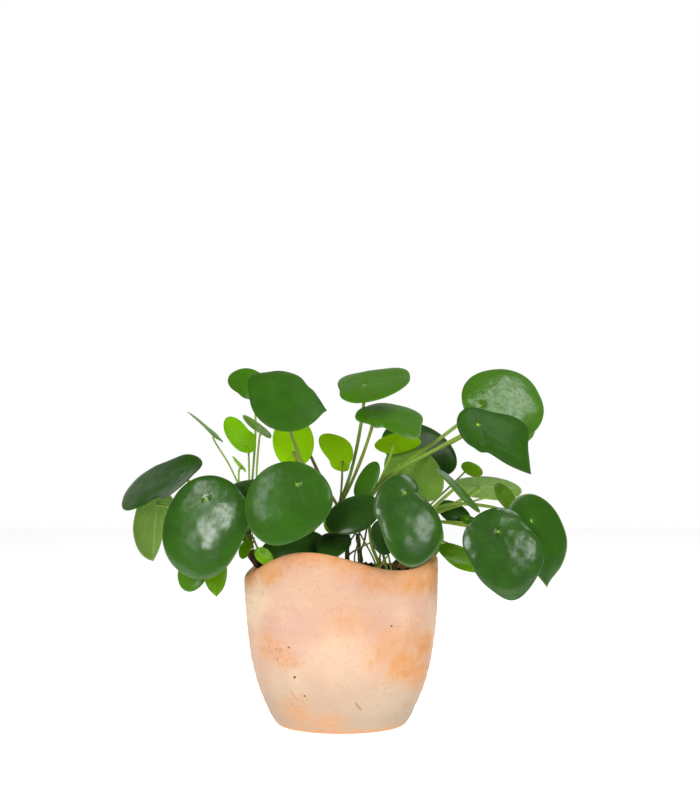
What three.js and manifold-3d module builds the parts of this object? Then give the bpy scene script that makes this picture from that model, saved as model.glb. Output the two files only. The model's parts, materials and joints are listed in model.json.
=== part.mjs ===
// A potted pilea: a hand-thrown terracotta pot with an uneven rim, soil, woody stems that stand in
// holes in the soil, crowns of long green petioles, and round leaves held near their middle.
// Millimetres, +Z up, origin at the middle of the pot's flat underside. The front looks along -Y.

import * as THREE from 'three';
import { mergeVertices } from 'three/addons/utils/BufferGeometryUtils.js';
import Module from 'manifold-3d';

const wasm = await Module();
wasm.setup();

// Driving dimensions of the pot
const POT_SIDES = 40;
const POT_OUTSIDE = [[40, 0], [42.5, 0.8], [46, 5], [49.4, 12], [53.7, 21.6], [57.3, 32],
  [60.1, 43], [62.1, 56], [64.2, 76], [65.1, 97], [65, 110]];
const POT_LIP = [[64.2, 112.4], [62.4, 113.2], [60.6, 112.4], [59.8, 110]];
const POT_INSIDE = [[59.8, 76], [57.2, 56], [52.2, 32], [44.6, 12], [38, 7.2]];
const RIM_MIDDLE = 113.2;
const RIM_STARTS = 78;
const DRAIN_HOLES = 3;
const DRAIN_RADIUS = 3.5;
const DRAIN_CIRCLE = 17;
const DRILL_LENGTH = 20;
const DRAIN_SIDES = 12;
const FLOOR_MIDDLE = 6.8;

// The rim's crests and valleys: degrees round the axis from +X, and height
const RIM_WAVE = [[-110, 120], [-50, 107.5], [5, 113.5], [70, 103], [130, 109], [185, 101.5]];

// Driving dimensions of the soil
const CLEARANCE = 0.3;
const SOIL_EDGE = 98;
const SOIL_MOUND = 107;
const STEM_DEPTH = 14;
const STRAIGHT_ABOVE = 5;
const HOLE_BELOW = 0.6;
const HOLE_ABOVE = 20;
const HOLE_SIDES = 10;
const HOLE_PLAY = 0.7;

// Driving dimensions of the foliage
const BLADE_THICK = 0.9;
const LARGE_LEAF = 50;
const SMALL_LEAF = 30;
const PETIOLE_SIDES = 6;
const PETIOLE_STEPS = 6;
const STEM_SIDES = 8;
const DROOP_POWER = 1.6;
const POINT_SPREAD = 17;
const BEND_STEPS = 8;
const WAVE = 0.5;
const SMALL_WAVE = 0.2;
const FINE_MESH = { sides: 24, shares: [0.3, 0.68, 1] };
const LARGE_MESH = { sides: 16, shares: [0.3, 0.68, 1] };
const MIDDLE_MESH = { sides: 14, shares: [0.5, 1] };
const SMALL_MESH = { sides: 12, shares: [0.5, 1] };

// The green shoot on a stem: its girth, and the shares of its length between which petioles grow
const SHOOT_GIRTH = 2.2;
const SHOOT_GAP = 0.5;
const LOWEST_ROOT = 0.32;
const HIGHEST_ROOT = 0.95;
const SIDE_SHOOT_ROOT = 0.85;

// Radius of the petioles of larger and of smaller leaves, and of each end against the middle
const PETIOLE_RADIUS = 1.2;
const SLIM_RADIUS = 0.75;
const ROOT_WIDER = 1.25;
const END_WIDER = 1.1;

// A petiole meets its blade at a right angle over this much of its length, and at most this far
const SQUARE_SHARE = 0.06;
const SQUARE_MOST = 1.6;
const LATE_SHARE = 0.14;

// The place that the foliage was laid out from: the eye, its focal length and the picture's middle
const EYE = new THREE.Vector3(5.9, -1300, 218);
const FOCAL = 1930;
const MIDDLE_U = 350;
const MIDDLE_V = 400;

// Colours, roughness and metalness of each finish
const FINISHES = {
  terracotta: { color: 0xf0c8a5, roughness: 0.78 },
  soil: { color: 0x19140f, roughness: 0.95 },
  stem: { color: 0x3c281e, roughness: 0.85 },
  petiole: { color: 0x96af46, roughness: 0.5 },
  mature: { color: 0x3a7024, roughness: 0.3 },
  mid: { color: 0x4c8c28, roughness: 0.32 },
  young: { color: 0x82b614, roughness: 0.36 },
};

// Crowns: foot of the stem in the soil (x, y), top of the woody stem, tip of the green shoot.
// A crown with no top is a side shoot that stands in the soil itself.
const CROWNS = {
  left: { foot: [-52, -8], top: [-60, -10, 118], tip: [-63, -10, 129], wood: 2.6 },
  inner: { foot: [-3, 4], top: [-6, 6, 124], tip: [-7, 6, 142], wood: 1.6 },
  middle: { foot: [13, 0], top: [11, 2, 128], tip: [9, 3, 148], wood: 1.6 },
  right: { foot: [36, -4], top: [40, -5, 116], tip: [42, -5, 132], wood: 1.6 },
  back: { foot: [4, 34], top: [4, 40, 120], tip: [4, 42, 138], wood: 1.6 },
  pup: { foot: [25, -36], top: null, tip: [25, -37, 114], wood: 0 },
};

// Leaves. Columns: crown, finish, the petiole point as seen (u, v), its depth y, facing and rise of
// the upper face in degrees, roll of the tip, length, width, share of the length behind the petiole
// point, droop in degrees at the tip, right, base and left margins, and the length of the tip's point
const LEAVES = [
  ['left', 'mature', 182, 474, -2, -44, 47, -51, 63, 46, 0.26, [15, -25, 0, -15], 2],
  ['left', 'mid', 157, 504, 17, -150, 10, 2, 50, 35, 0.2, [15, 10, 10, 10], 5],
  ['left', 'mature', 206.5, 499.5, -45, -14, 20, 2, 69, 60, 0.25, [25, 20, 15, 20], 1],
  ['left', 'mature', 196, 560, -15, -20, 25, -8, 29, 22, 0.25, [15, 10, 10, 10], 0],
  ['left', 'young', 214.5, 560, -30, 0, 20, 4, 31, 16, 0.25, [15, 10, 10, 10], 1],
  ['left', 'mid', 215.2, 434, 15, 90, 47, 180, 31, 24, 0.25, [10, 10, 10, 10], 1],
  ['left', 'young', 247, 444.5, 8, -15, 25, -141, 34, 17, 0.19, [10, 5, 5, 5], 1],
  ['left', 'mid', 262.5, 430, 4, 120, 50, 180, 24, 20, 0.32, [10, 10, 10, 10], 1],
  ['left', 'young', 242, 467, 10, 110, 40, 180, 14, 11, 0.3, [5, 5, 5, 5], 0],
  ['left', 'mid', 253, 385, 28, -20, 35, -115, 36, 25, 0.35, [15, 10, 10, 10], 1],
  ['inner', 'mature', 278, 385, -35, 5, 40, 60, 55, 57, 0.31, [15, 45, 20, 18], 4],
  ['inner', 'young', 294, 452, 30, 170, 10, 180, 36, 29, 0.3, [10, 10, 10, 10], 1],
  ['left', 'mature', 250, 488, -20, -5, 58, 0, 40, 34, 0.3, [20, 15, 10, 15], 1],
  ['inner', 'mature', 297.5, 484, -62, 0, 12, -20, 59, 58, 0.24, [20, 15, 10, 15], 1],
  ['inner', 'young', 343, 461.5, 5, 170, 20, 142, 31, 19, 0.25, [10, 5, 5, 5], 1],
  ['inner', 'mature', 364, 385, 0, -28, 57, 98, 50, 40, 0.38, [0, 5, 0, 10], 1],
  ['inner', 'mature', 375, 415, -10, 15, 60, 34, 46, 40, 0.26, [10, 10, 10, 10], 5],
  ['middle', 'young', 393.5, 443, 10, 180, 50, -104, 31, 21, 0.42, [10, 10, 10, 10], 1],
  ['back', 'mature', 405, 441, 42, 10, 35, 60, 54, 42, 0.3, [15, 10, 10, 10], 2],
  ['middle', 'mid', 401, 464, 24, 160, 10, -55, 45, 37, 0.25, [10, 10, 10, 10], 1],
  ['pup', 'mature', 368, 507, -40, -10, 38, -65, 37, 29, 0.22, [20, 15, 10, 15], 1],
  ['middle', 'mid', 361, 492, -24, -40, 20, 165, 27, 18, 0.2, [10, 10, 10, 10], 1],
  ['right', 'mature', 404.5, 493, -70, 10, 20, 4, 60, 45, 0.22, [20, 20, 15, 20], 1],
  ['middle', 'mature', 481, 405, 0, 8, 33, 92, 57, 57, 0.22, [20, 15, 10, 15], 1],
  ['middle', 'mature', 478.4, 424.6, -30, 20, 35, 45, 56, 36, 0.26, [30, 8, 10, 45], 12],
  ['right', 'mid', 457, 486, -25, 79, 45, 0, 40, 34, 0.45, [10, 10, 10, 10], 1],
  ['right', 'young', 468, 467, 34, 0, 30, 60, 16, 10, 0.3, [10, 5, 5, 5], 0],
  ['right', 'mid', 479, 486, 22, 162, 62, -90, 46, 38, 0.37, [10, 10, 10, 10], 1],
  ['right', 'young', 503, 492, -5, 30, 25, 30, 24, 14, 0.3, [10, 20, 10, 20], 1],
  ['right', 'mature', 498.8, 532, -52, 4, 15, 10, 60, 56, 0.27, [20, 15, 10, 15], 3],
  ['right', 'mature', 531.7, 521.3, -34, 38, 12, 13, 63, 50, 0.29, [15, -15, 10, 10], 3],
  ['right', 'mature', 448, 509, 12, 10, 20, 60, 24, 15, 0.3, [15, 10, 10, 10], 1],
  ['right', 'mid', 451, 552, -22, 30, 40, 60, 33, 20, 0.25, [10, 10, 10, 10], 1],
  ['inner', 'mature', 303, 544, -27, -10, 38, -80, 43, 24, 0.35, [15, 10, 10, 10], 1],
  ['left', 'young', 261, 553, -32, 20, 30, 40, 15, 11, 0.3, [10, 5, 5, 5], 0],
  ['left', 'young', 246, 545, -22, -30, 30, 0, 14, 9, 0.3, [10, 5, 5, 5], 0],
  ['inner', 'mature', 337, 537.5, -33, 0, 60, -20, 30, 22, 0.3, [15, 10, 10, 10], 1],
  ['pup', 'mature', 383, 529, -48, 10, 30, 0, 24, 17, 0.3, [15, 10, 10, 10], 1],
  ['inner', 'young', 329.5, 521, -26, -10, 30, 20, 13, 9, 0.3, [10, 5, 5, 5], 0],
  ['right', 'mid', 466, 519, 5, 20, 50, 60, 14, 10, 0.3, [10, 5, 5, 5], 0],
  ['back', 'mature', 290, 492, 72, 190, 40, 10, 54, 48, 0.27, [20, 15, 10, 15], 2],
  ['back', 'mature', 406, 515, 70, 165, 38, -10, 54, 48, 0.27, [20, 15, 10, 15], 2],
  ['right', 'mature', 508, 540, 38, 120, 30, 0, 46, 40, 0.27, [20, 15, 10, 15], 1],
  ['left', 'mature', 208, 520, 32, -130, 32, 0, 46, 42, 0.27, [20, 15, 10, 15], 1],
  ['back', 'mid', 290, 393, 45, 180, 50, 0, 42, 40, 0.3, [15, 10, 10, 10], 1],
  ['back', 'mid', 505, 410, 50, 150, 45, 0, 44, 40, 0.3, [15, 10, 10, 10], 1],
];

// Where a blade's margin leaves its oval, by leaf number: degrees from the tip, the lobe's spread in
// degrees, and how far it stands out or in
const LOBES = {
  1: [[-30, 24, 12], [30, 22, -13], [150, 40, -3]],
  2: [[-20, 20, -15], [-60, 30, -6]],
  3: [[36, 26, -5], [-40, 25, 2]],
  7: [[-25, 22, -4]],
  10: [[45, 35, -3.5], [-70, 40, -1.5]],
  11: [[38, 34, -15], [88, 28, -6], [-172, 24, 4], [140, 25, -2], [-60, 35, 4]],
  14: [[22, 28, -7], [54, 25, -4]],
  15: [[52, 35, 4.5], [-35, 30, -4.5], [150, 40, -2.5]],
  16: [[38, 20, 4], [142, 26, 6.5], [-165, 20, -2]],
  17: [[65, 25, 11], [112, 32, 9], [-18, 18, -16], [-55, 38, -10]],
  23: [[80, 25, -10], [118, 28, -3], [42, 16, 2.5], [-38, 22, -6]],
  24: [[90, 45, 3], [38, 25, 4], [-90, 60, -4]],
  25: [[48, 22, 14], [-20, 18, -13], [-50, 25, -4]],
  30: [[-48, 30, -7], [-16, 16, -3], [25, 20, -2], [92, 26, -4.5]],
  31: [[-22, 18, -12]],
};

// How far a petiole's middle is pushed aside, by leaf number, so that it passes clear of others
const BOWS = {
  6: [9, 0, 0], 16: [-2, 4, 0], 31: [2, 18, 6], 43: [0, 2, -14], 46: [0, 22, 0],
};

const UP = new THREE.Vector3(0, 0, 1);
const radians = THREE.MathUtils.degToRad;

// A point that is seen at (u, v) and lies at depth y
function seenAt(u, v, y) {
  const reach = (y - EYE.y) / FOCAL;
  return new THREE.Vector3(EYE.x + (u - MIDDLE_U) * reach, y, EYE.z - (v - MIDDLE_V) * reach);
}

// One closed body of a geometry: shared vertices merged, empty triangles dropped, faces outward
function closedBody(geometry) {
  geometry.deleteAttribute('uv');
  geometry.deleteAttribute('normal');
  const merged = mergeVertices(geometry, 1e-4);
  const place = merged.attributes.position;
  const [a, b, c] = [new THREE.Vector3(), new THREE.Vector3(), new THREE.Vector3()];
  const kept = [];
  let volume = 0;
  for (let i = 0; i < merged.index.count; i += 3) {
    const corners = [0, 1, 2].map((k) => merged.index.getX(i + k));
    if (new Set(corners).size < 3) {
      continue;
    }
    kept.push(...corners);
    a.fromBufferAttribute(place, corners[0]);
    b.fromBufferAttribute(place, corners[1]);
    c.fromBufferAttribute(place, corners[2]);
    volume += a.dot(b.cross(c));
  }
  merged.setIndex(volume < 0 ? kept.reverse() : kept);
  return merged;
}

// The same body as a solid that can be joined and cut
function solidOf(geometry) {
  const body = closedBody(geometry);
  return new wasm.Manifold(new wasm.Mesh({
    numProp: 3,
    vertProperties: new Float32Array(body.attributes.position.array),
    triVerts: new Uint32Array(body.index.array),
  }));
}

// The geometry of a solid after its joins and cuts
function geometryOf(solid) {
  const mesh = solid.getMesh();
  const geometry = new THREE.BufferGeometry();
  geometry.setAttribute('position', new THREE.BufferAttribute(mesh.vertProperties.slice(), 3));
  geometry.setIndex([...mesh.triVerts]);
  return geometry;
}

// A closed skin over rings of equal length, shut at both ends by one point
function skinOver(first, rings, last) {
  const sides = rings[0].length;
  const points = [first, ...rings.flat(), last];
  const faces = [];
  for (let i = 0; i < sides; i += 1) {
    const next = (i + 1) % sides;
    faces.push(0, 1 + next, 1 + i);
    for (let ring = 0; ring + 1 < rings.length; ring += 1) {
      const here = 1 + ring * sides;
      const there = here + sides;
      faces.push(here + i, here + next, there + i);
      faces.push(here + next, there + next, there + i);
    }
    const end = 1 + (rings.length - 1) * sides;
    faces.push(end + i, end + next, points.length - 1);
  }
  const geometry = new THREE.BufferGeometry().setFromPoints(points);
  geometry.setIndex(faces);
  return closedBody(geometry);
}

// A tube along a curve, whose radius runs through the given values
function tubeAlong(curve, radii, sides, steps) {
  const frames = curve.computeFrenetFrames(steps, false);
  const rings = [];
  for (let step = 0; step <= steps; step += 1) {
    const centre = curve.getPointAt(step / steps);
    const along = (step / steps) * (radii.length - 1);
    const before = Math.min(Math.floor(along), radii.length - 2);
    const radius = THREE.MathUtils.lerp(radii[before], radii[before + 1], along - before);
    const ring = [];
    for (let side = 0; side < sides; side += 1) {
      const turn = (2 * Math.PI * side) / sides;
      ring.push(centre.clone()
        .addScaledVector(frames.normals[step], radius * Math.cos(turn))
        .addScaledVector(frames.binormals[step], radius * Math.sin(turn)));
    }
    rings.push(ring);
  }
  return skinOver(curve.getPoint(0), rings, curve.getPoint(1));
}

// A profile of (radius, height) pairs turned round the pot's axis
function turned(profile) {
  const points = profile.map(([radius, height]) => new THREE.Vector2(radius, height));
  return new THREE.LatheGeometry(points, POT_SIDES).rotateX(Math.PI / 2);
}

// Height of the rim at an angle round the axis, easing between its crests and valleys
function rimHeight(angle) {
  const first = RIM_WAVE[0];
  const wave = [...RIM_WAVE, [first[0] + 360, first[1]]];
  const turn = THREE.MathUtils.euclideanModulo(angle - first[0], 360) + first[0];
  const after = wave.findIndex(([degrees], i) => i > 0 && degrees >= turn);
  const [from, low] = wave[after - 1];
  const [to, high] = wave[after];
  const ease = (1 - Math.cos((Math.PI * (turn - from)) / (to - from))) / 2;
  return low + (high - low) * ease;
}

// The pot: a thrown wall with a rounded lip that rises and falls, and drain holes in its floor
function pot() {
  const body = turned([[0, 0], ...POT_OUTSIDE, ...POT_LIP, ...POT_INSIDE, [0, FLOOR_MIDDLE]]);
  const place = body.attributes.position;
  for (let i = 0; i < place.count; i += 1) {
    const angle = THREE.MathUtils.radToDeg(Math.atan2(place.getY(i), place.getX(i)));
    const share = THREE.MathUtils.smoothstep(place.getZ(i), RIM_STARTS, RIM_MIDDLE);
    place.setZ(i, place.getZ(i) + (rimHeight(angle) - RIM_MIDDLE) * share);
  }
  let solid = solidOf(body);
  for (let hole = 0; hole < DRAIN_HOLES; hole += 1) {
    const turn = (2 * Math.PI * (hole + 0.25)) / DRAIN_HOLES;
    const drill = new THREE.CylinderGeometry(DRAIN_RADIUS, DRAIN_RADIUS, DRILL_LENGTH, DRAIN_SIDES);
    drill.rotateX(Math.PI / 2);
    drill.translate(DRAIN_CIRCLE * Math.cos(turn), DRAIN_CIRCLE * Math.sin(turn), DRILL_LENGTH / 4);
    solid = solid.subtract(solidOf(drill));
  }
  return geometryOf(solid);
}

// Height of the soil at a distance from the pot's axis
function soilHeight(radius) {
  const inside = POT_INSIDE[0][0];
  return SOIL_EDGE + (SOIL_MOUND - SOIL_EDGE) * (1 - (radius / inside) ** 2);
}

// The straight lower end of a stem, from its foot in the soil to where it leaves the soil
function footLine(crown) {
  const [x, y] = crown.foot;
  const ground = new THREE.Vector3(x, y, soilHeight(Math.hypot(x, y)));
  const aim = new THREE.Vector3(...(crown.top ?? crown.tip));
  const along = aim.sub(ground).normalize().lerp(UP, 0.6).normalize();
  return {
    foot: ground.clone().addScaledVector(along, -STEM_DEPTH),
    ground: ground.clone().addScaledVector(along, STRAIGHT_ABOVE),
    along,
  };
}

// The soil: a body that fills the pot up to a low mound, with a plain hole for each stem
function soil() {
  const inside = POT_INSIDE.map(([radius, height]) => [radius - CLEARANCE, height + CLEARANCE]);
  const floor = POT_INSIDE.at(-1)[1] + CLEARANCE;
  const reach = inside[0][0];
  const surface = [0, 0.3, 0.6, 0.85, 1].map((share) => [reach * share, soilHeight(reach * share)]);
  let solid = solidOf(turned([...surface, ...inside, [0, floor]]));
  for (const crown of Object.values(CROWNS)) {
    const { foot, along } = footLine(crown);
    const bottom = foot.clone().addScaledVector(along, -HOLE_BELOW);
    const top = foot.clone().addScaledVector(along, STEM_DEPTH + HOLE_ABOVE);
    const radius = (crown.wood || SHOOT_GIRTH) + HOLE_PLAY;
    const hole = tubeAlong(new THREE.LineCurve3(bottom, top), [radius, radius], HOLE_SIDES, 1);
    solid = solid.subtract(solidOf(hole));
  }
  return geometryOf(solid);
}

// A woody stem: straight in the soil, then bending to the crown
function stem(crown) {
  const { foot, ground } = footLine(crown);
  const top = new THREE.Vector3(...crown.top);
  const shoot = new THREE.Vector3(...crown.tip).sub(top).normalize();
  const route = new THREE.CatmullRomCurve3([
    foot, foot.clone().lerp(ground, 0.6), ground, top.clone().addScaledVector(shoot, -5), top,
  ]);
  return tubeAlong(route, [crown.wood * 0.95, crown.wood, crown.wood * 0.85], STEM_SIDES, 7);
}

// The frame of a leaf at its petiole point: upper normal, direction of the tip, and the right side
function bladeFrame(leaf) {
  const facing = radians(leaf.facing);
  const rise = radians(leaf.rise);
  const level = new THREE.Vector3(Math.sin(facing), -Math.cos(facing), 0);
  const normal = level.clone().multiplyScalar(Math.cos(rise)).addScaledVector(UP, Math.sin(rise));
  const down = level.clone().multiplyScalar(Math.sin(rise)).addScaledVector(UP, -Math.cos(rise));
  const tip = down.applyAxisAngle(normal, radians(leaf.roll));
  return { normal, tip, right: normal.clone().cross(tip), point: seenAt(leaf.u, leaf.v, leaf.depth) };
}

// Distance from the petiole point to the margin, at an angle from the tip
function marginAt(leaf, turn) {
  const half = leaf.long / 2;
  const side = leaf.wide / 2;
  const shift = leaf.long * (0.5 - leaf.share);
  const a = (Math.cos(turn) / half) ** 2 + (Math.sin(turn) / side) ** 2;
  const b = (-2 * shift * Math.cos(turn)) / half ** 2;
  const c = (shift / half) ** 2 - 1;
  const ellipse = (-b + Math.sqrt(b * b - 4 * a * c)) / (2 * a);
  return leaf.lobes.reduce((reach, [degrees, spread, out]) => {
    const off = Math.atan2(Math.sin(turn - radians(degrees)), Math.cos(turn - radians(degrees)));
    return reach + out * Math.exp(-((off / radians(spread)) ** 2));
  }, ellipse);
}

// Droop of the blade towards its margin, at an angle from the tip
function droopAt(leaf, turn) {
  const [tip, right, base, left] = leaf.droop.map(radians);
  const mean = (tip + right + base + left) / 4;
  const second = (tip - right + base - left) / 4;
  return mean + ((tip - base) / 2) * Math.cos(turn) + ((right - left) / 2) * Math.sin(turn)
    + second * Math.cos(2 * turn);
}

// The two points of the blade, above and below, at an angle and a share of the way to the margin
function bladePair(leaf, frame, turn, share) {
  const reach = marginAt(leaf, turn);
  const droop = droopAt(leaf, turn);
  const outward = frame.tip.clone().multiplyScalar(Math.cos(turn))
    .addScaledVector(frame.right, Math.sin(turn));
  let out = 0;
  let lift = 0;
  for (let step = 0; step < BEND_STEPS; step += 1) {
    const bend = droop * ((share * (step + 0.5)) / BEND_STEPS) ** DROOP_POWER;
    out += (reach * share * Math.cos(bend)) / BEND_STEPS;
    lift -= (reach * share * Math.sin(bend)) / BEND_STEPS;
  }
  lift += leaf.wave * Math.sin(3 * turn + leaf.number) * share ** 2;
  const bend = droop * share ** DROOP_POWER;
  const middle = frame.point.clone().addScaledVector(outward, out).addScaledVector(frame.normal, lift);
  const normal = frame.normal.clone().multiplyScalar(Math.cos(bend))
    .addScaledVector(outward, Math.sin(bend));
  return [
    middle.clone().addScaledVector(normal, BLADE_THICK / 2),
    middle.clone().addScaledVector(normal, -BLADE_THICK / 2),
  ];
}

// Sides of the blade's mesh, and the shares of the way out at which its rings lie
function meshOf(leaf) {
  if (LOBES[leaf.number]) {
    return FINE_MESH;
  }
  if (leaf.long >= LARGE_LEAF) {
    return LARGE_MESH;
  }
  return leaf.long >= SMALL_LEAF ? MIDDLE_MESH : SMALL_MESH;
}

// A leaf blade: a thin drooping disc, split into triangles alike on both faces
function blade(leaf) {
  const frame = bladeFrame(leaf);
  const { sides, shares } = meshOf(leaf);
  const above = [];
  const below = [];
  for (const share of shares) {
    const pairs = Array.from({ length: sides }, (_, i) =>
      bladePair(leaf, frame, (2 * Math.PI * i) / sides, share));
    above.push(pairs.map(([high]) => high));
    below.unshift(pairs.map(([, low]) => low));
  }
  const high = frame.point.clone().addScaledVector(frame.normal, BLADE_THICK / 2);
  const low = frame.point.clone().addScaledVector(frame.normal, -BLADE_THICK / 2);
  return skinOver(high, [...above, ...below], low);
}

// A petiole: from inside the shoot, out and up, to the underside of its blade at a right angle
function petiole(leaf, shoot, place) {
  const frame = bladeFrame(leaf);
  const root = shoot.getPoint(place);
  const end = frame.point.clone().addScaledVector(frame.normal, -(BLADE_THICK / 2 + CLEARANCE));
  const span = root.distanceTo(end);
  const outward = end.clone().sub(root).setZ(0).normalize();
  const leave = UP.clone().multiplyScalar(0.8).addScaledVector(outward, 0.6).normalize();
  const early = root.clone().addScaledVector(leave, span * 0.35);
  const late = end.clone().addScaledVector(frame.normal, -span * LATE_SHARE);
  const sweep = new THREE.CubicBezierCurve3(root, early, late, end);
  const bow = new THREE.Vector3(...(BOWS[leaf.number] ?? [0, 0, 0]));
  const route = new THREE.CatmullRomCurve3([
    root, sweep.getPoint(0.3).add(bow), sweep.getPoint(0.6).add(bow),
    end.clone().addScaledVector(frame.normal, -Math.min(SQUARE_MOST, span * SQUARE_SHARE)), end,
  ]);
  const radius = leaf.long >= SMALL_LEAF ? PETIOLE_RADIUS : SLIM_RADIUS;
  const radii = [radius * ROOT_WIDER, radius, radius, radius * END_WIDER];
  return tubeAlong(route, radii, PETIOLE_SIDES, PETIOLE_STEPS);
}

// The green shoot of a crown with all its petioles, grown as one body
function petioles(crown, leaves) {
  const tip = new THREE.Vector3(...crown.tip);
  let start = footLine(crown).foot;
  if (crown.top) {
    const top = new THREE.Vector3(...crown.top);
    start = top.clone().addScaledVector(tip.clone().sub(top).normalize(), SHOOT_GAP);
  }
  const shoot = new THREE.LineCurve3(start, tip);
  const girth = Math.max(crown.wood, SHOOT_GIRTH);
  let solid = solidOf(tubeAlong(shoot, [girth * 0.85, girth * 0.9, girth * 0.6], STEM_SIDES, 3));
  leaves.forEach((leaf, i) => {
    const lowest = crown.top ? LOWEST_ROOT : SIDE_SHOOT_ROOT;
    const place = THREE.MathUtils.lerp(lowest, HIGHEST_ROOT, (i + 0.5) / leaves.length);
    solid = solid.add(solidOf(petiole(leaf, shoot, place)));
  });
  return geometryOf(solid);
}

// The rows of the table as named values
const foliage = LEAVES.map((row, i) => {
  const [crown, finish, u, v, depth, facing, rise, roll, long, wide, share, droop, point] = row;
  const wave = long >= SMALL_LEAF ? WAVE : SMALL_WAVE;
  const lobes = [[0, POINT_SPREAD, point], ...(LOBES[i + 1] ?? [])];
  return {
    number: i + 1, crown, finish, u, v, depth, facing, rise, roll, long, wide, share, droop, lobes, wave,
  };
});

const plant = new THREE.Group();

function addPiece(name, geometry, finish) {
  const { color, roughness } = FINISHES[finish];
  const piece = new THREE.Mesh(geometry, new THREE.MeshStandardMaterial({ color, roughness, metalness: 0 }));
  piece.name = name;
  plant.add(piece);
}

addPiece('pot', pot(), 'terracotta');
addPiece('soil', soil(), 'soil');
for (const [name, crown] of Object.entries(CROWNS)) {
  if (crown.top) {
    addPiece(`stem_${name}`, stem(crown), 'stem');
  }
  addPiece(`petioles_${name}`, petioles(crown, foliage.filter((leaf) => leaf.crown === name)), 'petiole');
}
for (const leaf of foliage) {
  addPiece(`leaf_${String(leaf.number).padStart(2, '0')}`, blade(leaf), leaf.finish);
}

export default plant;
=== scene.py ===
"""Looks of a potted pilea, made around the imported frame.

Metres, +Z up, origin at the middle of the pot's flat underside; the front looks along -Y.
Each blade's place and form is read from its node in the frame. The pot, soil, stems and petioles
follow the driving dimensions of the solids, at a finer grain.
"""

import json
import logging
import math
from dataclasses import dataclass, field
from enum import Enum
from functools import cached_property, lru_cache

import bpy
import numpy as np
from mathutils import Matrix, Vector, noise

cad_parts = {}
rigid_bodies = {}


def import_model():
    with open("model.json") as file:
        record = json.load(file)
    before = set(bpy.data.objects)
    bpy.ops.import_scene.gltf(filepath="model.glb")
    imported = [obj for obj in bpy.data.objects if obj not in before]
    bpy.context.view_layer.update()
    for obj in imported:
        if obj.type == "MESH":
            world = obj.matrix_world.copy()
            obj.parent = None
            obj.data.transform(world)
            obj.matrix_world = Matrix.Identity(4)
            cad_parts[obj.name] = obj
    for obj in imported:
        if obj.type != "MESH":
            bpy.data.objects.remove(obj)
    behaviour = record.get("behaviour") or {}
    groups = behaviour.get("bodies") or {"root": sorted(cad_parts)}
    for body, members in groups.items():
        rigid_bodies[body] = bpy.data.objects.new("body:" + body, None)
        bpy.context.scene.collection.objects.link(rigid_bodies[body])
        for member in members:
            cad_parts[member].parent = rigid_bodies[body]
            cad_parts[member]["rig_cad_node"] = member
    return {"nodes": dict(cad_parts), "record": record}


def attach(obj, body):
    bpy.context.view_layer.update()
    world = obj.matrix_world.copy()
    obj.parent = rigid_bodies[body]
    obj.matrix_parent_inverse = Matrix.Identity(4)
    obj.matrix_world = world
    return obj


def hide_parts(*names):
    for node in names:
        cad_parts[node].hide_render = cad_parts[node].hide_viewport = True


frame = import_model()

log = logging.getLogger("pilea")

BODY = "root"
MM = 0.001
UP = np.array([0.0, 0.0, 1.0])
SPAN_STEPS = 24
LEAST_SPAN = 1e-6


class Slot(Enum):
    """The record's material slots."""

    TERRACOTTA = "terracotta"
    SOIL = "soil"
    STEM = "stem"
    PETIOLE = "petiole"
    LEAF_MATURE = "leaf_mature"
    LEAF_MID = "leaf_mid"
    LEAF_YOUNG = "leaf_young"


# Small geometry


def unit(vectors: np.ndarray) -> np.ndarray:
    """The same directions at length one."""
    return vectors / np.linalg.norm(vectors, axis=-1, keepdims=True)


def smooth(low: float, high: float, value: np.ndarray | float) -> np.ndarray | float:
    """Eases from 0 at low to 1 at high."""
    share = np.clip((value - low) / (high - low), 0.0, 1.0)
    return share * share * (3 - 2 * share)


def grain(points: np.ndarray, size: float, seed: float) -> np.ndarray:
    """Smooth noise between about -1 and 1.

    Args:
        points: Places, one row each.
        size: Distance over which the noise turns from high to low.
        seed: Moves the noise, so that two calls differ.

    Returns:
        One value for each row.
    """
    moved = points / size + np.array([seed, 1.7 * seed, -2.3 * seed])
    return np.array([noise.noise(Vector(row)) for row in moved.tolist()])


def grains(points: np.ndarray, layers: tuple) -> np.ndarray:
    """Layers of noise together, each given by its strength, size and seed."""
    return sum(strength * grain(points, size, seed) for strength, size, seed in layers)


def closed_curve(samples: np.ndarray, turns: np.ndarray) -> np.ndarray:
    """A smooth closed curve through samples at equal steps of one turn.

    Args:
        samples: Values, one row for each step.
        turns: Angles in radians at which the curve is wanted.

    Returns:
        One row for each angle, by a periodic cubic spline.
    """
    count = len(samples)
    before, after = np.roll(samples, 1, axis=0), np.roll(samples, -1, axis=0)
    own = np.eye(count)
    system = 4 * own + np.roll(own, 1, axis=1) + np.roll(own, -1, axis=1)
    bend = np.linalg.solve(system, 6 * (before - 2 * samples + after))
    place = np.mod(turns, 2 * math.pi) / (2 * math.pi) * count
    here = np.floor(place).astype(int) % count
    there = (here + 1) % count
    share = (place - np.floor(place))[:, None]
    rest = 1 - share
    return (samples[here] * rest + samples[there] * share
            + ((rest ** 3 - rest) * bend[here] + (share ** 3 - share) * bend[there]) / 6)


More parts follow.
